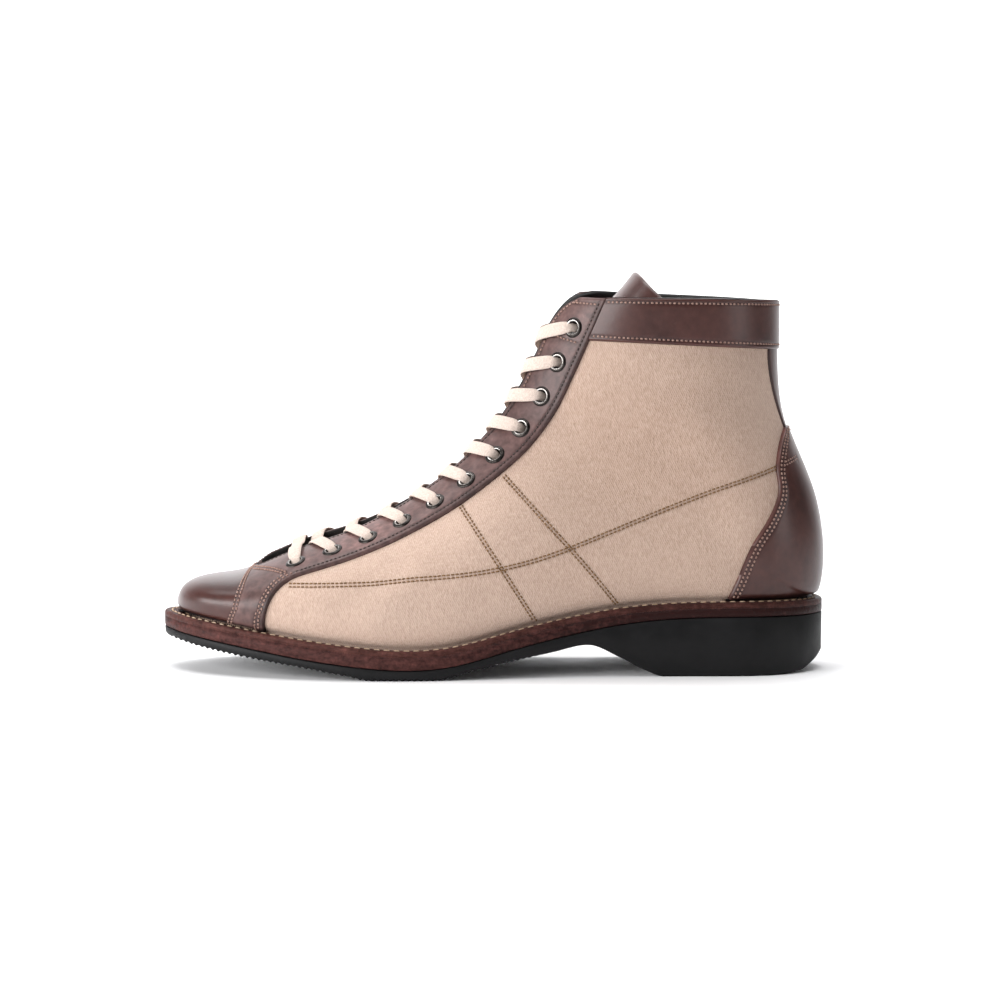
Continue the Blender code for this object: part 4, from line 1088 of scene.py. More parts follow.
def rubber_material(name):
    """Black moulded rubber, dull and a little dusty."""
    made, tree, shader = new_material(name, 0.55, Specular_IOR_Level=0.22)
    dust = noise(tree, place_of(tree), 60.0, 4.0, 0.65)
    grit = noise(tree, place_of(tree), 1400.0, 3.0, 0.6)
    feed(tree, shader, Base_Color=two_tones(tree, name, dust, 0.35, 0.72),
         Roughness=span(tree, dust, 0.3, 0.7, 0.46, 0.66))
    bump(tree, shader, grit, 0.25, 0.00025)
    return made


def metal_material(name, roughness):
    """Plated metal with rubbed patches."""
    made, tree, shader = new_material(name, roughness, Metallic=1.0)
    rub = noise(tree, place_of(tree), 700.0, 3.0)
    feed(tree, shader, Base_Color=two_tones(tree, name, rub, 0.35, 0.7),
         Roughness=span(tree, rub, 0.3, 0.7, roughness - 0.08, roughness + 0.1))
    bump(tree, shader, rub, 0.08, 0.0002)
    return made


def lace_material(name):
    """Flat woven cotton: chevrons along the lace from its own coordinates."""
    made, tree, shader = new_material(name, 0.9, Sheen_Weight=0.15, Sheen_Roughness=0.5,
                                      Specular_IOR_Level=0.2)
    uv = node_of(tree, "ShaderNodeSeparateXYZ", {"Vector": place_of(tree, "UV")})
    fold = sums(tree, "PINGPONG", uv.outputs["Y"], 0.9)
    rib = waves(tree, sums(tree, "ADD", uv.outputs["X"], fold), LACE_RIB)
    fuzz = noise(tree, place_of(tree), 1300.0, 3.0, 0.6)
    tone = blend(tree, (rib, 0.05), (fuzz, 1.0))
    feed(tree, shader, Base_Color=two_tones(tree, name, tone, 0.28, 0.66))
    first = bump(tree, shader, fuzz, 0.25, 0.0003)
    bump(tree, shader, rib, 0.35, 0.0002, first)
    return made


def thread_material(name):
    """Twisted sewing thread."""
    made, tree, shader = new_material(name, 0.62)
    place = place_of(tree)
    fuzz = noise(tree, place, 900.0, 3.0)
    twist = node_of(tree, "ShaderNodeTexWave", {"Vector": place, "Scale": 900.0, "Distortion": 1.5},
                    bands_direction="DIAGONAL")
    feed(tree, shader, Base_Color=two_tones(tree, name, fuzz, 0.32, 0.68))
    bump(tree, shader, twist.outputs["Fac"], 0.4, 0.0002)
    return made


def floor_material():
    """Pale studio paper with a hint of tooth."""
    made, tree, shader = new_material("studio_paper", 0.9, Base_Color=PAPER)
    bump(tree, shader, noise(tree, place_of(tree), 60.0), 0.02, 0.001)
    return made


# Meshes

def piece(name, points, faces, materials, nodes=(), uv=None, face_materials=None, painted_shading_and_raw_edge=None,
          merge=True):
    """Object of the boot from points in millimetres, riding on its one body."""
    mesh = bpy.data.meshes.new(name)
    mesh.from_pydata(((np.asarray(points) - sole_middle) * MM).tolist(), [], faces)
    for material in materials:
        mesh.materials.append(material)
    if face_materials is not None:
        mesh.polygons.foreach_set("material_index", face_materials)
    # the attribute holds painted shade and painted light, and the pale raw cut edges
    if painted_shading_and_raw_edge is not None:
        mesh.attributes.new("painted_shading_and_raw_edge", "FLOAT", "POINT").data.foreach_set("value", painted_shading_and_raw_edge)
    if merge:
        work = bmesh.new()
        work.from_mesh(mesh)
        bmesh.ops.remove_doubles(work, verts=work.verts, dist=MERGE)
        bmesh.ops.recalc_face_normals(work, faces=work.faces)
        work.to_mesh(mesh)
        work.free()
    mesh.shade_smooth()
    layer = mesh.uv_layers.new(name="lay")
    corners = np.empty(len(mesh.loops), dtype=int)
    mesh.loops.foreach_get("vertex_index", corners)
    if uv is None:
        flat = np.empty(3 * len(mesh.vertices))
        mesh.vertices.foreach_get("co", flat)
        uv = flat.reshape(-1, 3)[:, [0, 2]] / MM
    layer.data.foreach_set("uv", np.asarray(uv)[corners].ravel())
    made = bpy.data.objects.new(name, mesh)
    bpy.context.scene.collection.objects.link(made)
    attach(made, "root")
    if nodes:
        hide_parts(*nodes)
    return made


def grid_quads(rows, cols, base=0):
    """Faces of a grid of points, row by row."""
    place = base + np.arange(rows * cols).reshape(rows, cols)
    quads = np.stack([place[:-1, :-1], place[1:, :-1], place[1:, 1:], place[:-1, 1:]], axis=-1)
    return quads.reshape(-1, 4)


def joined(grids):
    """Points and faces of several grids."""
    points, faces, base = [], [], 0
    for grid in grids:
        rows, cols = grid.shape[:2]
        points.append(grid.reshape(-1, 3))
        faces.append(grid_quads(rows, cols, base))
        base += rows * cols
    return np.concatenate(points), np.concatenate(faces)


def polyline_distance(flat, line):
    """Distance of flat points from a line of points."""
    best = np.full(flat.shape[:-1], np.inf)
    for start, stop in zip(line, line[1:]):
        run = stop - start
        share = np.clip((flat - start) @ run / (run @ run), 0.0, 1.0)
        best = np.minimum(best, np.linalg.norm(flat - start - share[..., None] * run, axis=-1))
    return best


def seam_line(table, count=80):
    """Smooth line of a seam in the side view."""
    rows = columns(LINE_COLUMNS, table)
    knots = np.stack([rows["x"], rows["z"]], axis=1)
    length = lengths(knots)
    at = np.linspace(0.0, length[-1], count)
    return np.stack([through(length, knots[:, axis], smooth_slopes)(at) for axis in range(2)], axis=1)


def beside(line, distance):
    """Line at a distance beside a line in the side view."""
    run = unit(np.gradient(line, axis=0))
    return line + distance * np.stack([-run[:, 1], run[:, 0]], axis=1)


seam_rows = []
for table in (LONG_SEAM, FRONT_SEAM, REAR_SEAM):
    seam_rows.extend(beside(seam_line(table), offset) for offset in (-SEAM_APART / 2, SEAM_APART / 2))


def over_welt(point):
    """Height of points over the welt."""
    return point[..., 2] - seat_z(point[..., 0])


def tuck(point):
    """How far the upper draws in just above the welt, most under the toe cap and the counter."""
    x = point[..., 0]
    ends = smooth_step((TUCK_TOE - x) / TUCK_RUN) + smooth_step((x - TUCK_HEEL) / TUCK_RUN)
    deep = TUCK_SIDE + ends * (TUCK_DEEP - TUCK_SIDE)
    return deep * np.clip(1.0 - over_welt(point) / TUCK_HIGH, 0.0, 1.0) ** TUCK_BEND


def relief(point):
    """Height of the creases at points of the surface, and of the tuck above the welt."""
    flat = point[..., [0, 2]]
    total = -tuck(point)
    for _, x_from, z_from, x_to, z_to, depth, width in CREASES:
        start, stop = np.array([x_from, z_from]), np.array([x_to, z_to])
        far = polyline_distance(flat, np.array([start, stop]))
        total += depth * np.exp(-(far / width) ** 2)
    return total


def canvas_shading(point):
    """Painted shade (plus) and painted light (minus) on the canvas at points of the side view, with a black
    painted shadow in the gap under the leather.
    """
    covered = (point[..., 0] < stay_rows["rear_x"][0]) | (point[..., 0] > counter_rows["x"][0])
    # painted black shadow where the canvas shows between the leather and the welt
    tone = GAP_SHADOW * covered * np.clip(GAP_SHADOW_HIGH - over_welt(point), 0.0, 1.0)
    for _, x, z, wide, high, amount in SHADING_PATCHES:
        tone += amount * np.exp(-((point[..., 0] - x) / wide) ** 2 - ((point[..., 2] - z) / high) ** 2)
    return tone


def seam_trough(point):
    """Trough that the seams pull into the canvas."""
    flat = point[..., [0, 2]]
    far = np.minimum.reduce([polyline_distance(flat, row) for row in seam_rows])
    return -GROOVE * np.exp(-(far / GROOVE_WIDE) ** 2)


def edge_distance(points, free):
    """Distance of each point of a grid from the nearest of its free edges."""
    down, across = lengths(points), lengths(points, 1)
    far = {"start": down, "stop": down[-1:] - down, "first": across, "last": across[:, -1:] - across}
    return np.minimum.reduce([far[name] for name in free])


def grid_normals(face, station, turn, side):
    """Unit normals of a grid on the surface, with none across on the lines that both sides share."""
    normal = np.cross(np.gradient(face, axis=0), np.gradient(face, axis=1))
    normal *= np.sign(np.sum(normal * outward(station, turn, side)))
    normal[on_both(station, turn), 1] = 0.0
    return unit(normal)


def level_heel(face, normal):
    """Normals turned level at the foot of the heel, where the surface closes under it."""
    level = unit((face - (HEEL_CENTRE, 0.0, 0.0)) * (1.0, 1.0, 0.0))
    behind = smooth_step((face[..., 0] - LEVEL_FROM) / LEVEL_RUN)
    share = behind * np.clip(1.0 - over_welt(face) / LEVEL_HIGH, 0.0, 1.0)
    return unit(normal + share[..., None] * (level - normal))


def stitch_distance(points):
    """Distance of points from the nearest row of stitches on the leather."""
    flat = points.reshape(-1, 3)
    return np.array([stitch_tree.find(point)[2] for point in flat]).reshape(points.shape[:-1])


def leather_grid(station, turn, side, free, top, edge_tone=0.0, edge_wide=EDGE_WIDE):
    """Leather sheet on the canvas, rounded at its free edges and pressed in along its stitches.

    Gives its grid of points and, at each of them, its painted shade (plus: above the welt, in the stitch
    grooves and along dark cut edges) and its pale raw cut edge (minus).
    """
    station, turn = np.broadcast_arrays(station, turn)
    face = surface(station, turn, side)
    normal = level_heel(face, grid_normals(face, station, turn, side))
    far = edge_distance(face, free)
    groove = np.exp(-(stitch_distance(face) / GROOVE_WIDE) ** 2)
    height = top * np.sqrt(1.0 - (1.0 - np.clip(far / EDGE_ROUND, 0.0, 1.0)) ** 2) - GROOVE * groove
    # painted shade on the leather just above the welt
    painted_shading_and_raw_edge = np.clip(1.0 - over_welt(face) / SHADE_HIGH, 0.0, 1.0)
    # painted shade in the trough along each row of stitches
    painted_shading_and_raw_edge = np.maximum(painted_shading_and_raw_edge, GROOVE_SHADE * groove)
    # dark cut edges get painted shade, pale ones the colour of the raw cut edge
    painted_shading_and_raw_edge = painted_shading_and_raw_edge + edge_tone * smooth_step(0.5 + (edge_wide - far) / EDGE_BLUR)
    pads = tuple((int(one in free), int(two in free)) for one, two in (("start", "stop"), ("first", "last")))
    outer = np.pad(face + (height + relief(face))[..., None] * normal, (*pads, (0, 0)), mode="edge")
    skirt = np.pad(face - EDGE_DIP * normal, (*pads, (0, 0)), mode="edge")
    edge = np.pad(np.zeros(station.shape, dtype=bool), pads, constant_values=True)
    return np.where(edge[..., None], skirt, outer), np.pad(painted_shading_and_raw_edge, pads, mode="edge")


def leather_piece(name, sheets, material, nodes=(), punched=False):
    """Piece of brown leather from its sheets."""
    points, faces = joined([grid for grid, _ in sheets])
    if punched:
        faces = unpunched(points, faces)
    painted_shading_and_raw_edge = np.concatenate([shade.ravel() for _, shade in sheets])
    return piece(name, points, faces.tolist(), [material], nodes, painted_shading_and_raw_edge=painted_shading_and_raw_edge)


def ends_close(count):
    """Shares from 0 to 1 that lie close together at both ends."""
    return (1.0 - np.cos(np.linspace(0.0, math.pi, count))) / 2.0


def start_close(count):
    """Shares from 0 to 1 that lie close together at the start."""
    return 1.0 - np.cos(np.linspace(0.0, math.pi / 2, count))


eyelet_spots = {side: eyelet_places(side) for side in SIDES.values()}
eyelet_centres = {side: surface(*eyelet_spots[side], side) for side in SIDES.values()}
eyelet_axes = {side: outward(*eyelet_spots[side], side) for side in SIDES.values()}


def unpunched(points, faces):
    """Faces that no eyelet hole goes through."""
    middle = points[faces].mean(axis=1)
    keep = np.ones(len(faces), dtype=bool)
    for side in SIDES.values():
        for centre, axis in zip(eyelet_centres[side], eyelet_axes[side]):
            off = middle - centre
            along = off @ axis
            far = np.linalg.norm(off - along[:, None] * axis, axis=1)
            keep &= (far > PUNCH) | (np.abs(along) > PUNCH_DEEP)
    return faces[keep]


# Rows of stitches on the leather

back_stations = np.linspace(HEEL_END, COLLAR, 200)
back_line = section(back_stations)
counter_marks = np.arange(len(COUNTER), dtype=float)
counter_x = through(counter_marks, counter_rows["x"], smooth_slopes)
counter_z = through(counter_marks, counter_rows["z"], smooth_slopes)


def counter_point(high, share):
    """Station and turn of a point of the counter, up its rows and from its front edge to the back."""
    front_x, front_z = counter_x(high), counter_z(high)
    up = high / counter_marks[-1]
    back_z = COUNTER_FOOT + up * (front_z - COUNTER_FOOT + COUNTER_RISE)
    back_x = np.interp(back_z, back_line["bottom_z"], back_line["bottom_x"])
    bend = np.sin(share * math.pi / 2)
    return locate(front_x + bend * (back_x - front_x), front_z + bend * (back_z - front_z))


def share_at(points, distance, from_last=False):
    """Share of the way across each row of a grid at a distance from its first or last point."""
    across = lengths(points, 1)
    even = np.linspace(0.0, 1.0, points.shape[1])
    wanted = across[:, -1] - distance if from_last else np.full(len(points), distance)
    return np.array([np.interp(want, row, even) for want, row in zip(wanted, across)])


def stay_paths(side):
    """Rows of one stay: along its edges, down the band, across its corner and across its top."""
    paths = []
    place = np.linspace(STAY_ROWS[0], STAY_END - STAY_ROWS[1], STAY_POINTS)
    station, turn = stay_point(place[:, None], np.linspace(0.0, 1.0, SHORT_POINTS), side)
    grid = surface(station, turn, side)
    for thread, distance, from_rear, start, stop in STAY_STITCHES:
        part = (place > start) & (place < stop)
        share = share_at(grid, distance, from_rear)
        paths.append((thread, *stay_point(place[part], share[part], side), side, STAY_TOP - STAY_SINK))
    across = np.linspace(*STAY_CROSS_SPAN, SHORT_POINTS)
    for row in STAY_CROSS_ROWS:
        cross = stay_point(np.full(SHORT_POINTS, row), across, side)
        paths.append(("brown", *cross, side, STAY_TOP + STAY_SINK))
    return paths


def counter_paths(side):
    """Two rows along the counter's edge, and the long seam that runs on over it."""
    high = np.linspace(COUNTER_ROWS[0], counter_marks[-1] - COUNTER_ROWS[1], ROW_POINTS)
    station, turn = counter_point(high[:, None], np.linspace(0.0, 1.0, 90))
    grid = surface(station, turn, side)
    upper = np.linspace(counter_marks[-1] - COUNTER_CLOSE, counter_marks[-1], SHORT_POINTS)
    back = surface(*counter_point(upper, 1.0), side)
    below = np.linalg.norm(back - back[-1], axis=-1)
    paths = []
    for distance in COUNTER_STITCHES:
        share = share_at(grid, distance)
        row = counter_point(high, share)
        over = np.linspace(share[-1], 1.0, SHORT_POINTS)
        top = np.interp(distance, below[::-1], upper[::-1])
        bend = np.sin(np.linspace(0.0, math.pi / 2, SHORT_POINTS))
        close = counter_point(high[-1] + (top - high[-1]) * bend, over)
        line = [np.concatenate(pair) for pair in zip(row, close)]
        paths.append(("brown", *line, side, COUNTER_TOP - STITCH_SINK))
    for seam in seam_rows[:2]:
        station, turn = locate(seam[:, 0], seam[:, 1])
        over = (turn > np.interp(station, *row)) & (turn < SEAM_STOP)
        paths.append(("brown", station[over], turn[over], side, COUNTER_TOP - STITCH_SINK))
    return paths


def band_front(rise):
    """Turn of the collar band's front end at a share of its height."""
    low_turn = locate(BAND_FRONT_X, BAND_FRONT_Z)[1]
    top_turn = locate(stay_rear_x(STAY_END), stay_rear_z(STAY_END))[1]
    return low_turn + rise * (top_turn - low_turn)


def band_paths(side):
    """Rows along the lower and the upper edge of the collar band."""
    paths = []
    for rise in BAND_STITCHES:
        turn = np.linspace(band_front(rise) + BAND_START, 1.0, ROW_POINTS)
        low = band_bottom(turn, side)
        station = lifted(low + rise * (COLLAR - low), turn, side)
        paths.append(("brown", station, turn, side, BAND_TOP - STITCH_SINK))
    return paths


leather_paths = []
for each in SIDES.values():
    leather_paths.extend(stay_paths(each) + counter_paths(each) + band_paths(each))
path_points = np.concatenate([surface(station, turn, side) for _, station, turn, side, _ in leather_paths])
stitch_tree = kdtree.KDTree(len(path_points))
for number, point in enumerate(path_points):
    stitch_tree.insert(point, number)
stitch_tree.balance()


# Upper

def upper_stations(count):
    """Stations of the upper's grid, with one on each change of its edges."""
    marks = [0.0, THROAT_START, HEEL_END, COLLAR]
    shares = np.array([0.24, 0.36, 0.40]) * count
    parts = [np.linspace(a, b, int(n), endpoint=False) for a, b, n in zip(marks, marks[1:], shares)]
    return np.concatenate(parts + [[COLLAR]])


def upper_grid(station, count, side):
    """Stations and turns of the upper's grid on one side, from the throat or the ridge down."""
    start = throat_turn(station, side)[:, None]
    turn = start + (1.0 - start) * np.linspace(0.0, 1.0, count)
    return lifted(station[:, None], turn, side), turn


def canvas(material):
    """Canvas of the quarters, down into the welt."""
    rows, cols = CANVAS_GRID
    stations = upper_stations(rows)
    foot_last = int(np.searchsorted(stations, HEEL_END - 1e-6))
    grids = []
    for side in SIDES.values():
        station, turn = upper_grid(stations, cols, side)
        face = surface(station, turn, side)
        grid = skin(station, turn, side, relief(face) + seam_trough(face))
        foot = grid[:foot_last + 1, -1]
        tucked = np.column_stack([foot[:, :2], midsole_top(foot[:, 0])])
        grids.extend([grid, np.stack([foot, tucked], axis=1)])
    points, faces = joined(grids)
    # the canvas carries its painted shade and painted light as an attribute
    return piece("canvas_upper", points, unpunched(points, faces).tolist(), [material], ["upper"],
                 painted_shading_and_raw_edge=canvas_shading(points))


def lining(material):
    """Lining inside the upper, and the cut edge round the throat and the collar."""
    rows, cols = LINING_GRID
    stations = upper_stations(rows)
    throat_first = int(np.searchsorted(stations, THROAT_START - 1e-6))
    grids = []
    for side in SIDES.values():
        place = upper_grid(stations, cols, side)
        inner = skin(*place, side, -WALL)
        outer = skin(*place, side, RIM_TOP)
        throat = np.stack([inner[throat_first:, 0], outer[throat_first:, 0]], axis=1)
        grids.extend([inner, throat, np.stack([inner[-1], outer[-1]], axis=1)])
    points, faces = joined(grids)
    return piece("lining", points, unpunched(points, faces).tolist(), [material])


def toe_cap(material):
    """Toe cap, whose rear edge lies under the band."""
    rows, cols = CAP_GRID
    share = np.linspace(0.0, 1.0, cols)
    reach = np.linspace(0.0, 1.0, rows)[:, None]
    grids = []
    for side in SIDES.values():
        station = reach * (cap_edge(share) + CAP_UNDER)
        turn = share * welt_turn(station, side, WELT_CLEAR)
        grids.append(leather_grid(station, turn, side, ("last",), CAP_TOP))
    return leather_piece("toe_cap_leather", grids, material, ["toe_cap"])


def eyelet_stay(side_name, side, material):
    """Stay with the band down to the welt, punched for its eyelets."""
    rows, cols = STAY_GRID
    share = ends_close(rows) * STAY_CLOSE + np.linspace(0.0, 1.0, rows) * (1.0 - STAY_CLOSE)
    station, turn = stay_point(share[:, None] * STAY_END, ends_close(cols), side)
    free = ("stop", "first", "last")
    grid, painted_shading_and_raw_edge = leather_grid(station, turn, side, free, STAY_TOP, STAY_EDGE, STAY_EDGE_WIDE)
    # painted light: the stay is made paler over the ball of the foot
    painted_shading_and_raw_edge = painted_shading_and_raw_edge - STAY_LIT * np.exp(-((grid[..., 0] - STAY_LIT_AT) / STAY_LIT_RUN) ** 2)
    nodes = ["eyelet_stay_" + side_name]
    return leather_piece("eyelet_stay_leather_" + side_name, [(grid, painted_shading_and_raw_edge)], material, nodes, True)


def heel_counter(material):
    """Counter that wraps the heel."""
    rows, cols = COUNTER_GRID
    high = np.linspace(0.0, counter_marks[-1], rows)[:, None]
    station, turn = counter_point(high, np.linspace(0.0, 1.0, cols))
    turn[:, -1] = 1.0
    free = ("stop", "first")
    grids = [leather_grid(station, turn, side, free, COUNTER_TOP, COUNTER_EDGE) for side in SIDES.values()]
    return leather_piece("heel_counter_leather", grids, material, ["heel_counter"])


def collar_band(material):
    """Band round the collar, from stay to stay."""
    rows, cols = BAND_GRID
    share = start_close(cols)
    rise = ends_close(rows)[:, None]
    front = band_front(rise)
    turn = front + share * (1.0 - front)
    grids = []
    for side in SIDES.values():
        low = band_bottom(turn[0], side)
        station = lifted(low + rise * (COLLAR - low), turn, side)
        grids.append(leather_grid(station, turn, side, ("start", "stop"), BAND_TOP, BAND_EDGE))
    return leather_piece("collar_band_leather", grids, material, ["collar_band"])


def back_strap(material):
    """Strip up the back, under the counter and the band."""
    rows, cols = STRAP_GRID
    table = columns(STRAP_COLUMNS, STRAP)
    station = np.linspace(table["station"][0], table["station"][-1], rows)[:, None]
    half = through(table["station"], table["half"], smooth_slopes)(station)
    wide = np.abs(section(station)["outer_y"])
    edge = 1.0 - (1.0 - HALF_WAY) * 2.0 / math.pi * np.arcsin(half / wide)
    turn = edge + start_close(cols) * (1.0 - edge)
    grids = [leather_grid(station, turn, side, ("first",), STRAP_TOP, STRAP_EDGE) for side in SIDES.values()]
    return leather_piece("back_strap", grids, material)


def tongue(material):
    """Tongue: a rounded sheet with a pointed top."""
    rows, cols = TONGUE_GRID
    across = 2.0 * ends_close(cols) - 1.0
    given = tongue_rows["station"]
    top = given[-1] - TONGUE_POINT * np.abs(across) ** TONGUE_BEND
    station = given[0] + ends_close(rows)[:, None] * (top - given[0])
    reach = through(given, tongue_rows["half"], smooth_slopes)(station) * np.abs(across)
    size = section(station)
    down = unit(np.stack([size["bottom_x"] - size["top_x"], np.zeros_like(station),
                          size["bottom_z"] - size["top_z"]], axis=-1))
    faces = {side: surface(station, turn_at(station, reach, side), side) for side in SIDES.values()}
    middle = np.where((across < 0.0)[None, :, None], faces[-1], faces[1])
    middle = middle + through(given, tongue_rows["depth"], smooth_slopes)(station)[..., None] * down
    far = np.clip(edge_distance(middle, ("start", "stop", "first", "last")) / TONGUE_ROUND, 0.0, 1.0)
    thick = (TONGUE_THICK / 2 * np.sqrt(1.0 - (1.0 - far) ** 2))[..., None] * down
    points, quads = joined([middle - thick, middle + thick])
    return piece("tongue_leather", points, quads.tolist(), [material], ["tongue"])


# Sole

def tread_under(x):
    """Under side of the rubber, with ribs across the forefoot."""
    fade = np.clip((RIB_STOP - x) / RIB_OUT, 0.0, 1.0) * np.clip((x - RIB_START) / RIB_IN, 0.0, 1.0)
    phase = np.mod(x / RIB_PITCH, 1.0)
    rib = np.clip(np.abs(2.0 * phase - 1.0) * RIB_STEEP - 1.0, 0.0, 1.0)
    return tread_z(x) + RIB_DEEP * fade * (1.0 - rib)


def slab(name, rings, high, low, material, node, filled=True):
    """Layer of the sole: rings round its outline, filled across at the bottom and the top."""
    lines = []
    for _, reach, down, drop in rings:
        outline = foot_outline(reach, SOLE_STEPS)
        x = outline[:, 0]
        z = high(x) + down * (low(x) - high(x)) + drop
        lines.append(np.column_stack([outline, z]))
    grid = np.stack([np.concatenate([line, line[:1]]) for line in lines], axis=1)
    grids = [grid]
    if filled:
        start = int(np.argmin(lines[0][:, 0]))
        half = SOLE_STEPS // 2
        share = np.linspace(0.0, 1.0, SOLE_ACROSS)[:, None]
        for line, level in ((lines[0], high), (lines[-1], low)):
            line = np.roll(line, -start, axis=0)
            one, two = line[:half + 1], np.concatenate([line[:1], line[:half - 1:-1]])
            rows = one[:, None] + share * (two - one)[:, None]
            rows[:, 1:-1, 2] = level(rows[:, 1:-1, 0])
            grids.append(rows)
    points, faces = joined(grids)
    return piece(name, points, faces.tolist(), [material], [node])


def insole(material):
    """Insole inside the upper."""
    edge = -WALL - GAP
    rings = (
        ("low", edge, 1.0, 0.0),
        ("side", edge, 0.0, -INSOLE_ROUND),
        ("top", edge - INSOLE_ROUND, 0.0, 0.0),
    )
    return slab("insole_leather", rings, lambda x: midsole_top(x) + GAP + INSOLE_THICK,
                lambda x: midsole_top(x) + GAP, material, "insole", filled=False)


# Eyelets and lace

def eyelets(materials):
    """Eyelets with a rolled rim, each turned round its own axis."""
    profile = columns(EYELET_COLUMNS, EYELET_PROFILE)
    angle = np.linspace(0.0, 2.0 * math.pi, EYELET_TURNS + 1)
    bright = (np.arange(len(EYELET_PROFILE) - 1) == EYELET_BRIGHT).astype(int)
    for side_name, side in SIDES.items():
        for number in range(EYELETS):
            axis = Vector(eyelet_axes[side][number]).normalized()
            first = axis.orthogonal().normalized()
            second = axis.cross(first)
            spoke = np.cos(angle)[:, None] * np.array(first) + np.sin(angle)[:, None] * np.array(second)
            grid = (eyelet_centres[side][number] + spoke[:, None] * profile["radius"][:, None]
                    + profile["depth"][:, None] * np.array(axis))
            points, faces = joined([grid])
            name = "eyelet_%s_%02d" % (side_name, number + 1)
            piece("rim_" + name, points, faces.tolist(), materials, [name],
                  face_materials=np.tile(bright, EYELET_TURNS))


def route_points(table, level, side, lift=0.0):
    """Points, outward normals, widths and thicknesses of the lace along a table."""
    rows = []
    under = max(level - 1, 0)
    for on, below, to_eyelet, depth, wide, thick in table:
        face = side if on >= 0.0 else -side
        station, eyelet_turn = [line[level] + below * (line[under] - line[level])
                                for line in eyelet_spots[face]]
        edge = throat_turn(station, face)
        turn = 0.0 if on == 0.0 else edge + to_eyelet * (eyelet_turn - edge)
        over = lift if on == 0.0 else 0.0
        point = skin(station, turn, face, depth + over)
        normal = skin(station, turn, face, 1.0) - skin(station, turn, face, 0.0)
        rows.append((*point, *normal, wide, thick))
    return rows


def lace_route(side):
    """Rows of one half of the lace, from the middle of the bar to its end inside the top eyelet."""
    first, last = [np.array([row[1:] for row in table]) for table in (FIRST_ROUTE, LAST_ROUTE)]
    rows = route_points([row[1:] for row in BAR], 0, side)[::-1]
    for level in range(1, EYELETS):
        side = -side
        table = first + (last - first) * (level - 1) / (EYELETS - 2)
        rows.extend(route_points(table, level, side, LACE_OVER if side < 0 else 0.0)[::-1])
    return rows


def lace(material):
    """Flat lace in one length: a bar over the first eyelets, then crossed up to the top."""
    outer, inner = lace_route(-1), lace_route(1)
    table = np.array(outer[::-1] + route_points((BAR_MIDDLE[1:],), 0, -1) + inner)
    path, normal, shape = table[:, :3], table[:, 3:6], table[:, 6:]
    length = np.concatenate([[0.0], np.cumsum(np.sqrt(np.linalg.norm(np.diff(path, axis=0), axis=1)))])
    count = (len(table) - 1) * LACE_STEPS + 1
    at = np.interp(np.linspace(0.0, len(table) - 1.0, count), np.arange(len(table)), length)
    line = np.stack([through(length, path[:, axis], smooth_slopes)(at) for axis in range(3)], axis=1)
    wide, thick = [through(length, shape[:, axis], steady_slopes)(at) for axis in range(2)]
    run = unit(np.gradient(line, axis=0))
    flat_at = np.array([number for number, row in enumerate(table) if row[6] >= FLAT_WIDE]) * LACE_STEPS
    flat_normal = normal[flat_at // LACE_STEPS]
    up = np.empty_like(line)
    up[0] = np.cross(run[0], (0.0, 0.0, 1.0))
    for step in range(count):
        carried = up[step - 1] if step else up[0]
        carried = carried - run[step] * (carried @ run[step])
        up[step] = carried / np.linalg.norm(carried)
    across = np.cross(run, up)
    target = np.arctan2(np.sum(flat_normal * across[flat_at], axis=1),
                        np.sum(flat_normal * up[flat_at], axis=1))
    target = np.unwrap(2.0 * target) / 2.0
    twist = np.interp(np.arange(count), flat_at, target)[:, None]
    up, across = np.cos(twist) * up + np.sin(twist) * across, np.cos(twist) * across - np.sin(twist) * up
    angle = np.linspace(0.0, 2.0 * math.pi, LACE_SIDES + 1)
    round_x, round_y = [np.sign(wave) * np.abs(wave) ** (2.0 / LACE_SQUARE)
                        for wave in (np.cos(angle), np.sin(angle))]
    grid = (line[:, None] + across[:, None] * (wide[:, None] / 2 * round_x)[..., None]
            + up[:, None] * (thick[:, None] / 2 * round_y)[..., None])
    points, faces = joined([grid])
    along = lengths(line)[:, None]
    uv = np.stack(np.broadcast_arrays(along, wide[:, None] / 2 * round_x), axis=-1).reshape(-1, 2)
    cap = [list(range(LACE_SIDES)), list(range(len(points) - 1, len(points) - 1 - LACE_SIDES, -1))]
    nodes = ["lace_bar"] + ["lace_crossing_%02d" % level for level in range(1, EYELETS)]
    return piece("lace", points, faces.tolist() + cap, [material], nodes, uv=uv, merge=False)


# Stitches

def stitch_marks(points, normals, pitch):
    """Middle, direction and normal of each stitch along a line of points."""
    length = lengths(points)
    at = np.arange(0.5 * pitch, length[-1] - 0.3 * pitch, pitch)

    def along(rows, where):
        return np.stack([np.interp(where, length, rows[:, axis]) for axis in range(3)], axis=1)

    run = along(points, at + STITCH_AHEAD) - along(points, at - STITCH_AHEAD)
    return np.concatenate([along(points, at), run, along(normals, at)], axis=1)


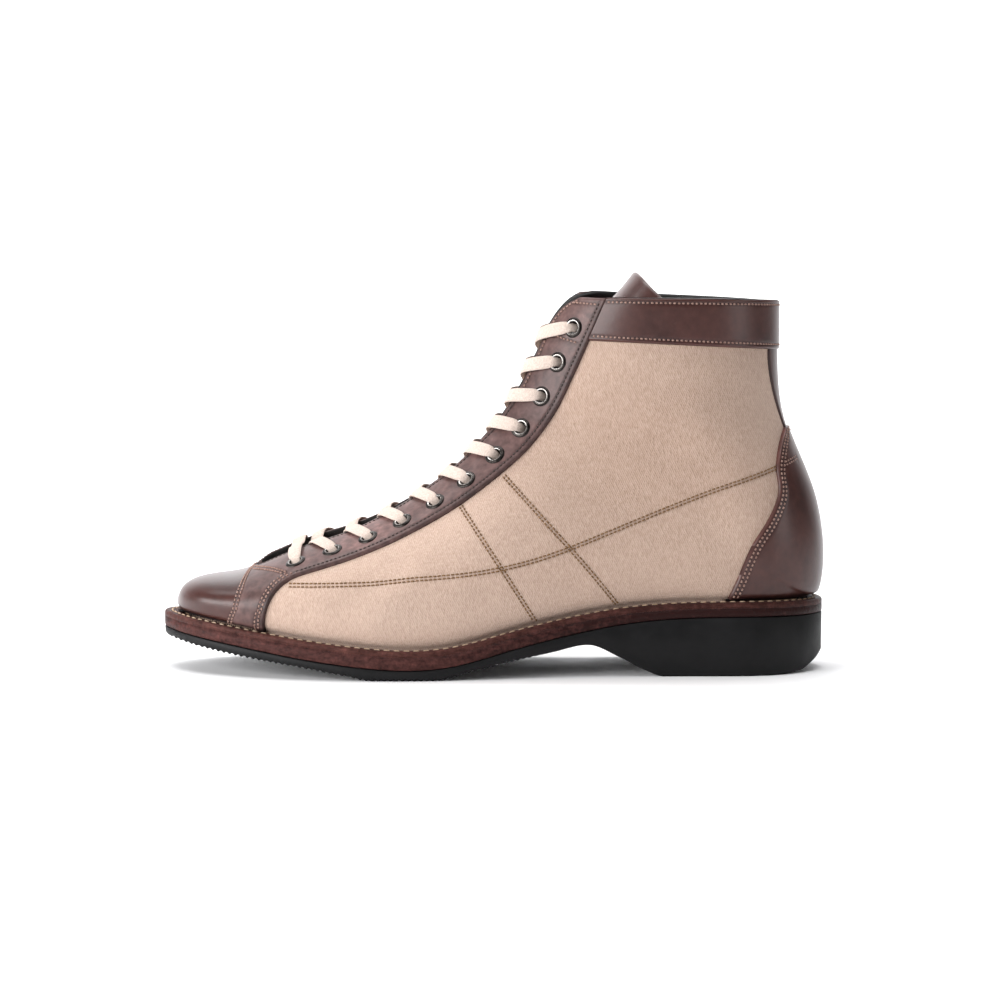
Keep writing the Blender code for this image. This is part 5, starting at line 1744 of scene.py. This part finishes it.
def stitches(name, marks, long, radius, material):
    """Joined mesh of all stitches of one thread."""
    marks = np.concatenate(marks)
    run = unit(marks[:, 3:6])
    up = unit(marks[:, 6:] - run * np.sum(marks[:, 6:] * run, axis=1)[:, None])
    side = np.cross(up, run)
    rows = columns(STITCH_COLUMNS, STITCH)
    angle = 2.0 * math.pi * np.arange(STITCH_SIDES) / STITCH_SIDES
    thick = rows["thick"][:, None] * radius
    local = np.stack(np.broadcast_arrays(
        rows["along"][:, None] * long,
        thick * np.cos(angle),
        thick * np.sin(angle) - rows["sink"][:, None] * radius), axis=-1).reshape(-1, 3)
    axes = np.stack([run, side, up], axis=1)
    points = marks[:, None, :3] + np.einsum("kc,ncd->nkd", local, axes)
    rings = len(STITCH)
    wall = []
    for ring in range(rings - 1):
        for step in range(STITCH_SIDES):
            after = (step + 1) % STITCH_SIDES
            wall.append([ring * STITCH_SIDES + step, ring * STITCH_SIDES + after,
                         (ring + 1) * STITCH_SIDES + after, (ring + 1) * STITCH_SIDES + step])
    wall = np.array(wall)
    ends = np.array([list(range(STITCH_SIDES))[::-1],
                     [(rings - 1) * STITCH_SIDES + step for step in range(STITCH_SIDES)]])
    base = np.arange(len(marks))[:, None, None] * len(local)
    faces = (wall + base).reshape(-1, 4).tolist() + (ends + base).reshape(-1, STITCH_SIDES).tolist()
    return piece(name, points.reshape(-1, 3), faces, [material], merge=False)


def on_skin(station, turn, side, depth):
    """Line of stitches on the surface at a depth."""
    station, turn = np.broadcast_arrays(station, turn)
    line = skin(station, turn, side, depth + relief(surface(station, turn, side)))
    return stitch_marks(line, outward(station, turn, side), STITCH_PITCH)


def all_stitches(threads):
    """Every row of stitches, from its thread."""
    cloth = []
    for side in SIDES.values():
        for row in seam_rows:
            station, turn = locate(row[:, 0], row[:, 1])
            inside = turn < welt_turn(station, side, SEAM_CLEAR)
            cloth.append(on_skin(station[inside], turn[inside], side, STITCH_SINK))
    for thread, radius in (("brown", BROWN_STITCH_RADIUS), ("dark", STITCH_RADIUS)):
        rows = [on_skin(*path) for kind, *path in leather_paths if kind == thread]
        stitches("stitches_leather_" + thread, rows, STITCH_LONG, radius, threads[thread])
    stitches("stitches_canvas", cloth, SEAM_STITCH_LONG, SEAM_STITCH_RADIUS, threads["seam"])
    inside = []
    for side in SIDES.values():
        station = np.linspace(THROAT_START + LINING_START, COLLAR - LINING_TOP, ROW_POINTS)
        throat = (station, turn_at(station, throat_half(station) + LINING_INSET, side))
        turn = np.linspace(throat[1][-1], 1.0, 200)
        for station, turn in (throat, (np.full_like(turn, COLLAR - LINING_TOP), turn)):
            station = lifted(station, turn, side)
            line = skin(station, turn, side, -WALL - STITCH_SINK)
            inside.append(stitch_marks(line, -outward(station, turn, side), LINING_PITCH))
    stitches("stitches_lining", inside, STITCH_LONG, STITCH_RADIUS, threads["lining"])
    outline = foot_outline(WELT_ROW, 720)
    ring = np.column_stack([outline, seat_z(outline[:, 0]) - 0.02])
    up = np.tile((0.0, 0.0, 1.0), (len(ring), 1))
    marks = [stitch_marks(ring, up, WELT_STITCH_PITCH)]
    stitches("stitches_welt", marks, WELT_STITCH_LONG, WELT_STITCH_RADIUS, threads["welt"])


# Studio

def backdrop(material):
    """Pale floor that sweeps up into a wall behind the boot."""
    angle = np.linspace(0.0, math.pi / 2, SWEEP_STEPS)
    sweep = SWEEP_START + SWEEP_RADIUS * np.sin(angle)
    y = np.concatenate([[-FLOOR_HALF], sweep, [SWEEP_START + SWEEP_RADIUS]])
    z = np.concatenate([[0.0], SWEEP_RADIUS * (1.0 - np.cos(angle)), [SWEEP_TOP]])
    x = np.array([-FLOOR_HALF, FLOOR_HALF])
    grid = np.stack(np.broadcast_arrays(x[None, :], y[:, None], z[:, None]), axis=-1)
    points, faces = joined([grid])
    mesh = bpy.data.meshes.new("floor")
    mesh.from_pydata((points * MM).tolist(), [], faces[:, ::-1].tolist())
    mesh.materials.append(material)
    mesh.shade_smooth()
    made = bpy.data.objects.new("floor", mesh)
    bpy.context.scene.collection.objects.link(made)


def look_at(thing, place, aim):
    """Puts a light or camera at a place, turned to an aim."""
    place, aim = Vector(place) * MM, Vector(aim) * MM
    thing.location = place
    thing.rotation_euler = (aim - place).to_track_quat("-Z", "Y").to_euler()


def lights():
    """Soft boxes and a white surround."""
    for name, x, y, z, aim_x, aim_y, aim_z, wide, high, watts in LIGHTS:
        lamp = bpy.data.lights.new(name, "AREA")
        lamp.shape = "RECTANGLE"
        lamp.size = wide * MM
        lamp.size_y = high * MM
        lamp.energy = watts
        made = bpy.data.objects.new(name, lamp)
        bpy.context.scene.collection.objects.link(made)
        look_at(made, (x, y, z), (aim_x, aim_y, aim_z))
    world = bpy.data.worlds.new("surround")
    world.use_nodes = True
    shade = world.node_tree.nodes["Background"]
    shade.inputs["Color"].default_value = (1.0, 1.0, 1.0, 1.0)
    shade.inputs["Strength"].default_value = WORLD_LIGHT
    bpy.context.scene.world = world


def camera():
    """Camera at the photograph's angle."""
    lens = bpy.data.cameras.new("camera")
    lens.sensor_width = CAMERA_SENSOR
    lens.lens = CAMERA_FOCAL
    made = bpy.data.objects.new("camera", lens)
    bpy.context.scene.collection.objects.link(made)
    x, y, z = CAMERA_AIM - sole_middle
    look_at(made, (x, y - CAMERA_AWAY, CAMERA_HIGH), (x, y, z))
    bpy.context.scene.camera = made


def build():
    """Make every piece."""
    brown = leather_material("brown_leather_look", roughness=0.31)
    welt_leather = stacked_leather("welt_leather", roughness=0.5, fade=0.10)
    edge_leather = stacked_leather("midsole_edge", roughness=0.5, fade=0.20)
    worn = leather_material("worn_leather_look", roughness=0.46, pore=1.8, mottled=0.6)
    rubber = rubber_material("black_rubber_look")
    gunmetal = metal_material("gunmetal_look", roughness=0.34)
    # painted highlight on the eyelets' inner roll
    bright = metal_material("painted_highlight_rim", roughness=0.24)
    footbed = leather_material("footbed_leather", roughness=0.6, coat=0.0)

    canvas(canvas_material())
    lining(leather_material("lining_leather", roughness=0.55, coat=0.0))
    toe_cap(brown)
    for side_name, side in SIDES.items():
        eyelet_stay(side_name, side, worn)
    heel_counter(brown)
    collar_band(brown)
    back_strap(brown)
    tongue(brown)
    slab("welt_strip", WELT_RINGS, seat_z, lambda x: seat_z(x) - WELT_THICK, welt_leather,
         "welt", filled=False)
    slab("midsole_leather", MIDSOLE_RINGS, midsole_top, midsole_bottom, edge_leather,
         "midsole")
    slab("outsole_rubber", RUBBER_RINGS, rubber_top, tread_under, rubber, "outsole")
    insole(footbed)
    eyelets([gunmetal, bright])
    lace(lace_material("cotton_weave"))
    all_stitches({name: thread_material(name + "_thread") for name in THREADS})
    backdrop(floor_material())
    lights()
    camera()


build()
bpy.context.scene.view_settings.view_transform = "Standard"
